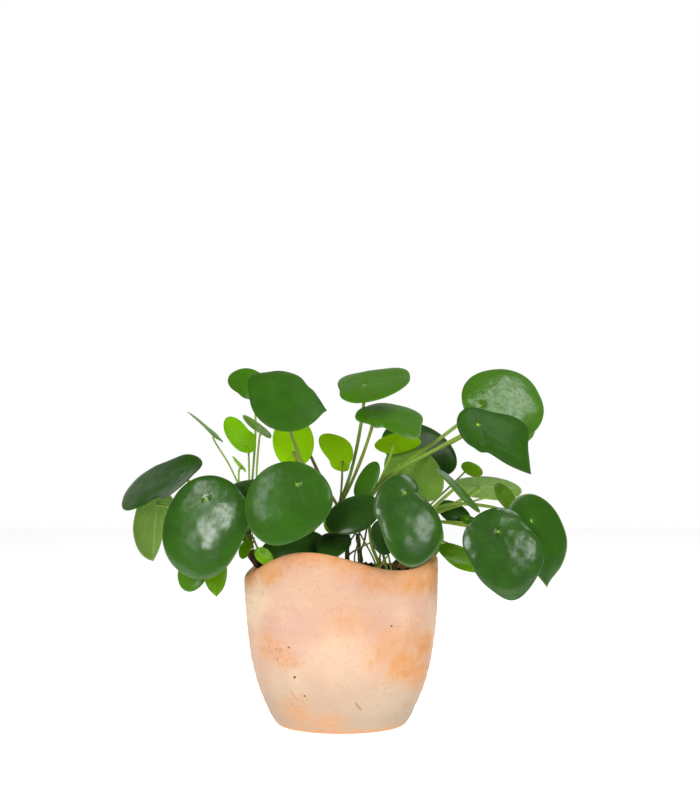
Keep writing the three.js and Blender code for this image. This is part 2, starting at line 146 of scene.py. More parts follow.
def smooth_route(knots: np.ndarray, count: int) -> np.ndarray:
    """A smooth route through a few points, at equal steps of its length.

    Args:
        knots: The points that it passes, one row each.
        count: Number of points that are wanted.

    Returns:
        Points of a centripetal spline, one row each.
    """
    ends = np.vstack([2 * knots[0] - knots[1], knots, 2 * knots[-1] - knots[-2]])
    dense = []
    for p0, p1, p2, p3 in zip(ends, ends[1:], ends[2:], ends[3:]):
        spans = (p1 - p0, p2 - p1, p3 - p2)
        d0, d1, d2 = (max(math.sqrt(np.linalg.norm(span)), LEAST_SPAN) for span in spans)
        leave = ((p1 - p0) / d0 - (p2 - p0) / (d0 + d1) + (p2 - p1) / d1) * d1
        reach = ((p2 - p1) / d1 - (p3 - p1) / (d1 + d2) + (p3 - p2) / d2) * d1
        t = np.linspace(0, 1, SPAN_STEPS, endpoint=False)[:, None]
        dense.append(p1 * (2 * t ** 3 - 3 * t ** 2 + 1) + leave * (t ** 3 - 2 * t ** 2 + t)
                     + p2 * (3 * t ** 2 - 2 * t ** 3) + reach * (t ** 3 - t ** 2))
    line = np.vstack([*dense, knots[-1:]])
    run = np.concatenate([[0], np.cumsum(np.linalg.norm(np.diff(line, axis=0), axis=1))])
    steps = np.linspace(0, run[-1], count)
    return np.stack([np.interp(steps, run, line[:, axis]) for axis in range(3)], axis=1)


def bezier(points: list[np.ndarray], share: float) -> np.ndarray:
    """The point of a cubic Bezier curve at a share of its parameter.

    Args:
        points: The curve's four points.
        share: The share, from 0 to 1.

    Returns:
        The point.
    """
    rest = 1 - share
    weights = (rest ** 3, 3 * rest ** 2 * share, 3 * rest * share ** 2, share ** 3)
    return sum(w * p for w, p in zip(weights, points))


def turns_of(sides: int) -> np.ndarray:
    """Equal steps of one turn, in radians."""
    return np.linspace(0, 2 * math.pi, sides, endpoint=False)


def rings_at(radii: np.ndarray, heights: np.ndarray, turns: np.ndarray) -> np.ndarray:
    """Points round the axis, by ring and place in the ring."""
    return np.stack(np.broadcast_arrays(radii * np.cos(turns), radii * np.sin(turns), heights), axis=-1)


@dataclass
class Skin:
    """A mesh in the making: its points, its faces, and values that its points hold."""

    points: np.ndarray
    faces: list[tuple[int, ...]]
    values: dict[str, np.ndarray] = field(default_factory=dict)

    def outward(self) -> "Skin":
        """Turns every face over if the closed skin is inside out.

        Returns:
            The skin itself.
        """
        fans = [(face[0], face[k], face[k + 1]) for face in self.faces for k in range(1, len(face) - 1)]
        a, b, c = self.points[np.array(fans)].swapaxes(0, 1)
        if np.sum(a * np.cross(b, c)) < 0:
            self.faces = [tuple(reversed(face)) for face in self.faces]
        return self

    def hold(self, **values: float) -> "Skin":
        """Gives all its points the same values.

        Args:
            values: The values, by name.

        Returns:
            The skin itself.
        """
        for key, value in values.items():
            self.values[key] = np.full(len(self.points), value)
        return self

    def piece(self, name: str, material: bpy.types.Material) -> bpy.types.Object:
        """Makes the object.

        Args:
            name: Its name.
            material: Its finish.

        Returns:
            The smooth-shaded object, linked to the scene.
        """
        mesh = bpy.data.meshes.new(name)
        mesh.from_pydata(self.points.tolist(), [], self.faces)
        for key, values in self.values.items():
            layer = mesh.attributes.new(key, "FLOAT", "POINT")
            layer.data.foreach_set("value", np.asarray(values, np.float32))
        mesh.shade_smooth()
        mesh.materials.append(material)
        piece = bpy.data.objects.new(name, mesh)
        bpy.context.scene.collection.objects.link(piece)
        return piece


def joined(skins: list[Skin]) -> Skin:
    """Several skins as one.

    Args:
        skins: The skins, each with the values that the first one holds.

    Returns:
        The joined skin.
    """
    faces: list[tuple[int, ...]] = []
    start = 0
    for skin in skins:
        faces += [tuple(i + start for i in face) for face in skin.faces]
        start += len(skin.points)
    values = {key: np.concatenate([skin.values[key] for skin in skins]) for key in skins[0].values}
    return Skin(np.vstack([skin.points for skin in skins]), faces, values)


@lru_cache
def ring_faces(sides: int, rings: int) -> list[tuple[int, ...]]:
    """Faces of a closed skin: a first point, rings of equal length, and a last point.

    Args:
        sides: Points of each ring.
        rings: Number of rings.

    Returns:
        The faces, by the numbers of their points.
    """
    faces: list[tuple[int, ...]] = []
    last = 1 + rings * sides
    for i in range(sides):
        after = (i + 1) % sides
        faces.append((0, 1 + after, 1 + i))
        for ring in range(rings - 1):
            here, there = 1 + ring * sides, 1 + (ring + 1) * sides
            faces.append((here + i, here + after, there + after, there + i))
        end = last - sides
        faces.append((end + i, end + after, last))
    return faces


def skin_over(first: np.ndarray, rings: np.ndarray, final: np.ndarray) -> Skin:
    """A closed skin over rings of equal length, shut at both ends by one point.

    Args:
        first: The point that shuts the first ring.
        rings: Points, by ring and place in the ring.
        final: The point that shuts the last ring.

    Returns:
        The skin, with its faces outward.
    """
    count, sides, _ = rings.shape
    points = np.vstack([first[None], rings.reshape(-1, 3), final[None]])
    return Skin(points, ring_faces(sides, count)).outward()


def tube(route: np.ndarray, radii: np.ndarray, sides: int, swell: np.ndarray | None = None) -> Skin:
    """A round tube along a route, shut at both ends.

    Args:
        route: Points of its middle line.
        radii: Its radius at each of them.
        sides: Points round it.
        swell: Factors on the radius, by point of the route and side.

    Returns:
        The skin. Its value "along" runs from 0 at the first end to 1 at the last.
    """
    steps = len(route)
    heading = unit(np.gradient(route, axis=0))
    side = np.cross(heading[0], UP if abs(heading[0][2]) < 0.9 else np.array([1.0, 0.0, 0.0]))
    turns = turns_of(sides)
    rings = np.empty((steps, sides, 3))
    for i in range(steps):
        side = unit(side - heading[i] * np.dot(side, heading[i]))
        other = np.cross(heading[i], side)
        reach = radii[i] * (swell[i] if swell is not None else np.ones(sides))
        aside = np.outer(np.cos(turns) * reach, side)
        rings[i] = route[i] + aside + np.outer(np.sin(turns) * reach, other)
    skin = skin_over(route[0], rings, route[-1])
    along = np.repeat(np.linspace(0, 1, steps), sides)
    skin.values["along"] = np.concatenate([[0.0], along, [1.0]])
    return skin


# Shader maths

# Sockets of a node that mixes colours
MIX_FIRST, MIX_SECOND, MIX_RESULT = 6, 7, 2


class Value:
    """A socket of a shader, which takes part in Python expressions."""

    def __init__(self, shader: "Shader", socket: bpy.types.NodeSocket) -> None:
        """Keeps the socket and the shader that it belongs to."""
        self.shader = shader
        self.socket = socket

    def math(self, operation: str, *others: "Value | float") -> "Value":
        """A Math node with this value first."""
        return self.shader.math(operation, self, *others)

    def __add__(self, other: "Value | float") -> "Value":
        """This value plus another."""
        return self.math("ADD", other)

    __radd__ = __add__

    def __sub__(self, other: "Value | float") -> "Value":
        """This value less another."""
        return self.math("SUBTRACT", other)

    def __rsub__(self, other: float) -> "Value":
        """A number less this value."""
        return self.shader.math("SUBTRACT", other, self)

    def __mul__(self, other: "Value | float") -> "Value":
        """This value times another."""
        return self.math("MULTIPLY", other)

    __rmul__ = __mul__

    def __truediv__(self, other: "Value | float") -> "Value":
        """This value over another."""
        return self.math("DIVIDE", other)

    def __pow__(self, other: float) -> "Value":
        """This value to a power."""
        return self.math("POWER", other)

    def most(self, other: "Value | float") -> "Value":
        """The larger of this value and another."""
        return self.math("MAXIMUM", other)

    def ease(self, low: float, high: float) -> "Value":
        """Eases from 0 where this value is low to 1 where it is high."""
        inputs = {"Value": self, "From Min": low, "From Max": high}
        return self.shader.value("ShaderNodeMapRange", {"interpolation_type": "SMOOTHSTEP"}, inputs)


class Shader:
    """A material or a world, built node by node."""

    def __init__(self, owner: bpy.types.Material | bpy.types.World) -> None:
        """Empties its nodes.

        Args:
            owner: The material or world.
        """
        self.owner = owner
        owner.use_nodes = True
        self.tree = owner.node_tree
        self.tree.nodes.clear()

    @cached_property
    def place(self) -> Value:
        """The point of the surface, in metres."""
        return self.value("ShaderNodeTexCoord", output="Object")

    def node(self, kind: str, settings: dict | None = None, inputs: dict | None = None) -> bpy.types.Node:
        """Any node.

        Args:
            kind: The node's type.
            settings: Its settings, set first.
            inputs: Values or links of its sockets, by name or number.

        Returns:
            The node.
        """
        node = self.tree.nodes.new(kind)
        for key, setting in (settings or {}).items():
            setattr(node, key, setting)
        for key, given in (inputs or {}).items():
            source = given.socket if isinstance(given, Value) else given
            if isinstance(source, bpy.types.NodeSocket):
                self.tree.links.new(source, node.inputs[key])
            else:
                node.inputs[key].default_value = source
        return node

    def value(self, kind: str, settings: dict | None = None, inputs: dict | None = None,
              output: int | str = 0) -> Value:
        """One output of a new node, as a value."""
        return Value(self, self.node(kind, settings, inputs).outputs[output])

    def math(self, operation: str, *values: Value | float) -> Value:
        """A Math node on up to three values."""
        return self.value("ShaderNodeMath", {"operation": operation}, dict(enumerate(values)))

    def vector(self, operation: str, first: Value, second: tuple, output: int | str = 0) -> Value:
        """A Vector Math node on a vector and a constant one."""
        return self.value("ShaderNodeVectorMath", {"operation": operation}, {0: first, 1: second}, output)

    def axis(self, name: str, vector: Value | None = None) -> Value:
        """One coordinate of a vector, or else of the point of the surface."""
        return self.value("ShaderNodeSeparateXYZ", {}, {0: vector or self.place}, name)

    def together(self, x: Value, y: Value, z: Value | float) -> Value:
        """Three values as one vector."""
        return self.value("ShaderNodeCombineXYZ", {}, {"X": x, "Y": y, "Z": z})

    def held(self, name: str) -> Value:
        """A value that the mesh holds at its points."""
        return self.value("ShaderNodeAttribute", {"attribute_name": name}, output="Fac")

    def noise(self, size: float, detail: float = 2.0, rough: float = 0.5, shift: float = 0.0,
              place: Value | None = None) -> Value:
        """Cloudy noise between 0 and 1, about 0.5.

        Args:
            size: Width of its patches in metres.
            detail: Finer layers added to it.
            rough: Strength of those.
            shift: Moves it, so that two calls differ.
            place: Where it is read, if not at the point of the surface.

        Returns:
            The noise.
        """
        moved = self.vector("ADD", place or self.place, (shift, shift * 0.7, -shift * 1.3))
        inputs = {"Vector": moved, "Scale": 1 / size, "Detail": detail, "Roughness": rough}
        return self.value("ShaderNodeTexNoise", {}, inputs)

    def spots(self, size: float, width: float, shift: float = 0.0) -> Value:
        """Scattered round spots: 1 inside, 0 outside.

        Args:
            size: Mean distance between them in metres.
            width: Share of that distance that a spot's radius takes.
            shift: Moves them.

        Returns:
            The mask.
        """
        moved = self.vector("ADD", self.place, (shift, -shift, shift * 0.6))
        away = self.value("ShaderNodeTexVoronoi", {}, {"Vector": moved, "Scale": 1 / size}, "Distance")
        return 1 - away.ease(width * 0.6, width)

    def layers(self, colour: Value | tuple, *coats: tuple) -> Value:
        """A colour with others laid over it in turn.

        Args:
            colour: The colour below, as a value or a constant.
            coats: Pairs of a share, from 0 to 1, and the colour that is laid over with it.

        Returns:
            The mixed colour.
        """
        for share, coat in coats:
            first, second = (c if isinstance(c, Value) else (*c, 1.0) for c in (colour, coat))
            inputs = {0: share, MIX_FIRST: first, MIX_SECOND: second}
            colour = self.value("ShaderNodeMix", {"data_type": "RGBA"}, inputs, MIX_RESULT)
        return colour

    def relief(self, *coats: tuple) -> Value:
        """A normal that follows several heights.

        Args:
            coats: Pairs of a height, from 0 to 1, and what 1 means in metres.

        Returns:
            The normal.
        """
        under: dict = {}
        for height, depth in coats:
            inputs = {"Height": height, "Distance": depth, "Strength": 1.0, **under}
            under = {"Normal": self.value("ShaderNodeBump", {}, inputs)}
        return under["Normal"]

    def finish(self, inputs: dict, through: tuple | None = None,
               share: Value | float = 0.0) -> bpy.types.Material:
        """Ends the material in a Principled surface.

        Args:
            inputs: Values of the Principled node's sockets.
            through: Colour of the light that passes through, if any does.
            share: How much of the surface's light that is.

        Returns:
            The finished material.
        """
        surface = self.node("ShaderNodeBsdfPrincipled", {}, inputs).outputs[0]
        if through is not None:
            glow = self.node("ShaderNodeBsdfTranslucent", {}, {"Color": (*through, 1.0)}).outputs[0]
            surface = self.node("ShaderNodeMixShader", {}, {0: share, 1: surface, 2: glow}).outputs[0]
        self.node("ShaderNodeOutputMaterial", {}, {"Surface": surface})
        return self.owner


def new_shader(name: str) -> Shader:
    """The shader of a new material."""
    return Shader(bpy.data.materials.new(name))


# Finishes


@dataclass(frozen=True)
class Stain:
    """A cloud of colour on the clay: its middle and reach in millimetres, and its strength."""

    middle: tuple
    reach: float
    strength: float


@dataclass(frozen=True)
class TerracottaFinish:
    """Pale fired clay: cream, peach and pink clouds, rust stains, specks and small pits, with painted
    shade darkening it towards the foot.
    """

    peach: tuple = (0.735, 0.450, 0.305)
    cream: tuple = (0.85, 0.63, 0.44)
    pink: tuple = (0.715, 0.430, 0.330)
    rust: tuple = (0.740, 0.325, 0.105)
    smudge: tuple = (0.54, 0.215, 0.095)
    # Painted shade: the darker colour that the pot is mixed towards near the floor
    foot: tuple = (0.40, 0.345, 0.260)
    speck: tuple = (0.12, 0.07, 0.04)
    drawn: float = 1.5
    rusty: tuple = (
        Stain((43, -44, 47), 28, 0.95),
        Stain((55, -28, 57), 23, 0.90),
        Stain((38, -48, 55), 40, 0.50),
        Stain((54, -28, 38), 24, 0.75),
        Stain((-48, -44, 107), 21, 0.95),
        Stain((-60, -24, 105), 24, 1.0),
        Stain((4, -64, 109), 20, 0.45),
        Stain((25, -60, 104), 24, 0.75),
        Stain((46, -46, 101), 25, 0.95),
        Stain((62, -20, 102), 26, 1.0),
        Stain((-46, -42, 57), 21, 0.55),
        Stain((-34, -50, 50), 15, 0.40),
        Stain((-26, -38, 14), 24, 0.50),
        Stain((-9, -44, 9), 20, 0.45),
        Stain((8, -63, 74), 24, 0.35),
    )
    creamy: tuple = (
        Stain((-4, -60, 46), 30, 0.38),
        Stain((-60, -24, 84), 30, 0.95),
        Stain((-36, -44, 34), 28, 0.25),
        Stain((30, -48, 22), 24, 0.50),
        Stain((62, -18, 80), 20, 0.45),
    )
    smudged: tuple = (
        Stain((-40, -46, 53), 17, 1.0),
        Stain((-30, -40, 22), 19, 0.9),
        Stain((-26, -50, 46), 10, 0.7),
        Stain((46, -42, 74), 14, 0.4),
        Stain((30, -50, 30), 16, 0.4),
    )
    pits: tuple = (
        Stain((-33.8, -50, 58.1), 0.9, 0.9),
        Stain((-29.9, -50, 38.6), 1.1, 1.0),
        Stain((-23.5, -50, 26.3), 0.9, 0.9),
        Stain((32.6, -54, 72.1), 0.9, 0.9),
    )
    scratch: tuple = ((9.0, 22.5), (13.5, 17.0))
    foot_shade_height: float = 0.066
    most_rust: float = 0.9

    @staticmethod
    def stained(s: Shader, stains: tuple, flat: tuple, start: float, warp: Value | float = 0.0) -> Value:
        """How strongly a point is stained, by the nearest of several stains.

        Args:
            s: The shader.
            stains: The stains.
            flat: Factors on the three axes before the distance is taken.
            start: Share of a stain's reach where it starts to fade.
            warp: Added to the distance, so that the stains are ragged.

        Returns:
            The strength.
        """
        seen = s.vector("MULTIPLY", s.place, flat)
        total: Value | None = None
        for stain in stains:
            middle = tuple(place * factor * MM for place, factor in zip(stain.middle, flat))
            away = s.vector("DISTANCE", seen, middle, "Value") / (stain.reach * MM) + warp
            near = (1 - away.ease(start, 1.0)) * stain.strength
            total = near if total is None else total.most(near)
        return total

    def cloud(self, s: Shader, stains: tuple, ragged: float) -> Value:
        """Stains with a ragged edge, wider than they are high."""
        warp = (s.noise(0.012, 4, 0.6, 3.7) - 0.5) * ragged
        return self.stained(s, stains, (1, 1, self.drawn), 0.25, warp)

    def scratched(self, s: Shader) -> Value:
        """A short scratch, seen along the front's direction.

        Args:
            s: The shader.

        Returns:
            The mask.
        """
        (x0, z0), (x1, z1) = self.scratch
        long = math.hypot(x1 - x0, z1 - z0)
        right, up = (x1 - x0) / long, (z1 - z0) / long
        x, z = s.axis("X") - x0 * MM, s.axis("Z") - z0 * MM
        along = x * right + z * up
        across = (x * up - z * right).math("ABSOLUTE")
        inside = along.ease(-0.5 * MM, 0.8 * MM) * (1 - along.ease((long - 0.8) * MM, long * MM))
        return (1 - across.ease(0.1 * MM, 0.8 * MM)) * inside

    def material(self) -> bpy.types.Material:
        """Builds the material.

        Returns:
            The material.
        """
        s = new_shader("fired_clay")
        front = s.axis("Y").math("LESS_THAN", 0.0)
        clouds = s.noise(0.035, 3, 0.5).ease(0.36, 0.64)
        blush = s.noise(0.030, 3, 0.5, 3.1).ease(0.42, 0.66)
        mottle = s.noise(0.007, 4, 0.62, 5.3)
        band = s.held("edge") * (0.55 + mottle.ease(0.3, 0.7) * 0.5)
        rusty = self.cloud(s, self.rusty, 0.9) * (0.60 + mottle.ease(0.32, 0.68) * 0.5)
        flecks = s.noise(0.0026, 4, 0.7, 9.2).ease(0.49, 0.62)
        smeared = self.cloud(s, self.smudged, 1.3) * flecks * 0.6
        grains = s.spots(0.0021, 0.24, 6.6) * s.noise(0.011, 2, 0.5, 8.8).ease(0.40, 0.58)
        specks = s.spots(0.0065, 0.055, 1.3) * 0.75
        holes = specks.most(self.stained(s, self.pits, (1, 0, 1), 0.45) * front)
        scratch = self.scratched(s) * front
        pores = s.noise(0.0012, 3, 0.6, 1.9)
        colour = s.layers(
            self.peach,
            (clouds * 0.55, self.cream),
            (blush * 0.7, self.pink),
            (self.cloud(s, self.creamy, 0.7), self.cream),
            # painted shade, darker towards the bottom
            ((1 - s.axis("Z").ease(0.0, self.foot_shade_height)) * 0.8, self.foot),
            (band.most(rusty).math("MINIMUM", self.most_rust), self.rust),
            (smeared.most(flecks * mottle.ease(0.50, 0.66) * 0.32), self.smudge),
            (grains * 0.32, self.smudge),
            (holes, self.speck),
            (scratch * 0.7, self.smudge),
            (pores.ease(0.45, 0.7) * 0.12, self.smudge))
        dents = s.noise(0.006, 3, 0.5, 6.1)
        relief = s.relief((dents, 0.0006), (pores, 0.00015), (1 - holes.most(scratch), 0.0005))
        return s.finish({
            "Base Color": colour, "Roughness": 0.62 + pores * 0.25, "Normal": relief,
            "Specular IOR Level": 0.3})


@dataclass(frozen=True)
class SoilFinish:
    """Dark potting mix with paler fibres."""

    dark: tuple = (0.012, 0.008, 0.005)
    brown: tuple = (0.06, 0.035, 0.02)
    fibre: tuple = (0.16, 0.10, 0.055)

    def material(self) -> bpy.types.Material:
        """Builds the material.

        Returns:
            The material.
        """
        s = new_shader("potting_mix")
        clods = s.noise(0.003, 4, 0.6)
        bits = s.noise(0.0022, 2, 0.5, 3.3).ease(0.68, 0.74) * s.held("tone")
        colour = s.layers(self.dark, (clods.ease(0.4, 0.7), self.brown), (bits, self.fibre))
        relief = s.relief((s.noise(0.0009, 2, 0.5, 6.0), 0.0003), (clods, 0.0012))
        return s.finish({
            "Base Color": colour, "Roughness": 0.95, "Normal": relief, "Specular IOR Level": 0.2})


@dataclass(frozen=True)
class WoodFinish:
    """Dark brown bark, cracked along the stem and paler where it has worn."""

    dark: tuple = (0.035, 0.018, 0.010)
    brown: tuple = (0.115, 0.060, 0.032)
    worn: tuple = (0.26, 0.16, 0.09)
    green: tuple = (0.05, 0.075, 0.012)

    def material(self) -> bpy.types.Material:
        """Builds the material.

        Returns:
            The material.
        """
        s = new_shader("bark")
        bark = s.noise(0.0024, 4, 0.6)
        worn = s.noise(0.005, 3, 0.6, 4.0).ease(0.55, 0.7) * 0.6
        colour = s.layers(self.dark, (bark.ease(0.35, 0.65), self.brown), (worn, self.worn),
                          (s.held("green"), self.green))
        return s.finish({"Base Color": colour, "Roughness": 0.8, "Normal": s.relief((bark, 0.0008)),
                         "Specular IOR Level": 0.3})


@dataclass(frozen=True)
class PetioleFinish:
    """Fleshy green stalk: paler at the blade, browner and redder towards the stem."""

    green: tuple = (0.20, 0.36, 0.025)
    pale: tuple = (0.38, 0.56, 0.07)
    olive: tuple = (0.15, 0.19, 0.02)
    red: tuple = (0.20, 0.075, 0.030)
    glow: tuple = (0.28, 0.45, 0.05)

    def material(self) -> bpy.types.Material:
        """Builds the material.

        Returns:
            The material.
        """
        s = new_shader("stalk")
        along = s.held("along")
        streak = s.noise(0.006, 3, 0.55)
        colour = s.layers(
            self.green,
            (along.ease(0.2, 1.0), self.pale),
            ((1 - along.ease(0.0, 0.5)) * streak.ease(0.3, 0.7) * 0.8, self.olive),
            (s.held("ruddy") * (0.45 + streak * 0.5), self.red))
        relief = s.relief((s.noise(0.0011, 2, 0.5, 2.0), 0.00012))
        return s.finish({"Base Color": colour, "Roughness": 0.38, "Normal": relief,
                         "Specular IOR Level": 0.4}, self.glow, 0.12)


@dataclass(frozen=True)
class BladeFinish:
    """A round fleshy blade: glossy and dark above, pale and matt below, with veins from the petiole."""

    slot: Slot
    upper: tuple
    deep: tuple
    lower: tuple
    vein: tuple
    glow: tuple
    through: float
    rough: float = 0.5
    sheen: float = 0.21
    # Painted shade: the near-black green that leaves lying under others are mixed towards
    shadow: tuple = (0.004, 0.011, 0.002)
    # Lime yellow-green: partly the leaf's own colour, partly painted glow of light through the blade
    lime: tuple = (0.24, 0.50, 0.006)
    dot: tuple = (0.36, 0.66, 0.04)
    rays: int = 9
    vein_width: tuple = (0.12 * MM, 0.6 * MM)
    midrib_width: tuple = (0.2 * MM, 1.1 * MM)
    net_gap: float = 0.0034
    arc_gap: float = 1.2 * MM
    streak_length: float = 3.2 * MM
    least_dot: float = 0.7 * MM
    dot_rays: float = 2.2 * MM

    def material(self) -> bpy.types.Material:
        """Builds the material.

        Returns:
            The material.
        """
        s = new_shader(self.slot.value)
        x, y, share = s.held("blade_x"), s.held("blade_y"), s.held("share")
        above, tone, ripple = s.held("above"), s.held("tone"), s.held("ripple")
        line, shade = s.held("line"), s.held("shade")
        away = (x * x + y * y).math("SQRT")
        spread = away.most(0.1 * MM)

        def rayed(rate: float, depth: Value, detail: int = 1, rough: float = 0.5) -> Value:
            """Noise drawn out along the rays from the petiole, by its rate round the turn."""
            place = s.together(x / spread * rate, y / spread * rate, depth)
            return s.noise(1.0, detail, rough, 0.0, place)

        turn = y.math("ARCTAN2", x)
        bent = turn + turn.math("SINE") * share * s.held("flow")
        beat = bent * (self.rays / (2 * math.pi))
        reach = away * (2 * math.pi / self.rays)
        first = ((beat + 0.5).math("FRACT") - 0.5).math("ABSOLUTE") * reach
        main_vein = 1 - first.ease(*self.vein_width)
        midrib = (1 - y.math("ABSOLUTE").ease(*self.midrib_width)) * x.ease(0.0, 2 * MM)
        midrib = midrib * (1 - share.ease(0.8, 1.0))
        crackle = s.value("ShaderNodeTexVoronoi", {"feature": "DISTANCE_TO_EDGE"}, {
            "Vector": s.together(x, y, tone * 0.05), "Scale": 1 / self.net_gap}, "Distance")
        net = 1 - crackle.ease(0.0, 0.12)
        arcs = rayed(1.6, away / self.arc_gap + tone * 9)
        creases = rayed(5.5, tone * 7)
        near = 1 - away.ease(4 * MM, 20 * MM)
        patches = s.noise(0.014, 3, 0.55)
        fine = s.noise(0.0008, 2, 0.5, 5.0)
        streaks = rayed(6, away / self.streak_length + tone * 5, 2, 0.6)
        dapple = s.noise(0.0022, 3, 0.6, 8.0)
        # Pale vein lines; where a leaf's line value is large they also paint glossy highlight stripes on
        # top
        lines = main_vein * 0.012 + main_vein * line ** 3 * 0.9 + net * 0.01 + (creases - 0.5) * near * 0.2
        dot = 1 - (away / (self.least_dot + creases.ease(0.45, 0.7) * self.dot_rays)).ease(0.45, 1.0)
        top = s.layers(
            self.deep,
            (patches.ease(0.35, 0.65) * 0.25 + (tone * 0.5 + 0.5) * 0.8, self.upper),
            (lines + s.spots(0.006, 0.035, 2.7) * 0.25, self.vein),
            (dot * s.held("dot"), self.dot))
        stripes = (main_vein * 0.9 + net * 0.2) * line
        bottom = s.layers(
            self.lower,
            (patches.ease(0.3, 0.7) * 0.3, self.upper),
            (tone.most(0.0) * 0.35, self.vein),
            (stripes.most(midrib * (0.3 + line * 0.6)), self.vein))
        colour = s.layers(
            bottom,
            (above, top),
            # pale margin: the blade's own paler rim, and where edge is large a painted highlight along it
            (share.ease(0.955, 0.995) * s.held("edge"), self.vein),
            # lime and painted glow, by the leaf's share
            (s.held("lime"), self.lime),
            # painted shade, by the leaf's shade value
            (shade, self.shadow))
        glossy = ripple * above
        relief = s.relief((arcs * glossy, 0.0004), (creases * near * glossy, 0.0005), (fine, 0.00002))
        texture = 1 - (1 - (streaks * 0.65 + dapple * 0.35).ease(0.36, 0.60)) * (0.2 + ripple * 0.25)
        # Painted shade also takes away from the light that passes through a shaded leaf
        return s.finish({
            "Base Color": colour, "Roughness": self.rough + (fine - 0.5) * 0.1, "Normal": relief,
            "Coat Weight": above * (1 - s.held("dull")) * texture, "Coat Roughness": self.sheen,
            "Coat IOR": 1.55, "Specular IOR Level": 0.1,
        }, self.glow, self.through * (1 - shade) * (1 - main_vein * 0.15))


BLADE_FINISHES = (
    BladeFinish(Slot.LEAF_MATURE, (0.044, 0.170, 0.004), (0.018, 0.068, 0.005), (0.12, 0.25, 0.025),
                (0.36, 0.50, 0.20), (0.06, 0.30, 0.003), 0.05),
    BladeFinish(Slot.LEAF_MID, (0.085, 0.260, 0.006), (0.036, 0.140, 0.005), (0.20, 0.40, 0.030),
                (0.50, 0.60, 0.34), (0.20, 0.56, 0.005), 0.22),
    BladeFinish(Slot.LEAF_YOUNG, (0.260, 0.520, 0.003), (0.150, 0.370, 0.003), (0.42, 0.70, 0.003),
                (0.50, 0.70, 0.12), (0.66, 0.99, 0.003), 0.54),
)


@dataclass(frozen=True)
class StageFinish:
    """Plain white floor, lit from below as well."""

    white: tuple = (0.93, 0.93, 0.93)
    lit: float = 0.75

    def material(self) -> bpy.types.Material:
        """Builds the material."""
        colour = (*self.white, 1.0)
        return new_shader("white_floor").finish({
            "Base Color": colour, "Roughness": 0.9, "Specular IOR Level": 0.1,
            "Emission Color": colour, "Emission Strength": self.lit})


def dress(piece: bpy.types.Object, slot: Slot, *nodes: str) -> None:
    """Makes a piece part of the frame.

    Args:
        piece: The piece, in place.
        slot: The material slot that its finish belongs to; not used.
        nodes: Nodes of the frame that it stands for.
    """
    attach(piece, BODY)
    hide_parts(*nodes)
    log.info("%s: %d faces", piece.name, len(piece.data.polygons))


# Pot and soil


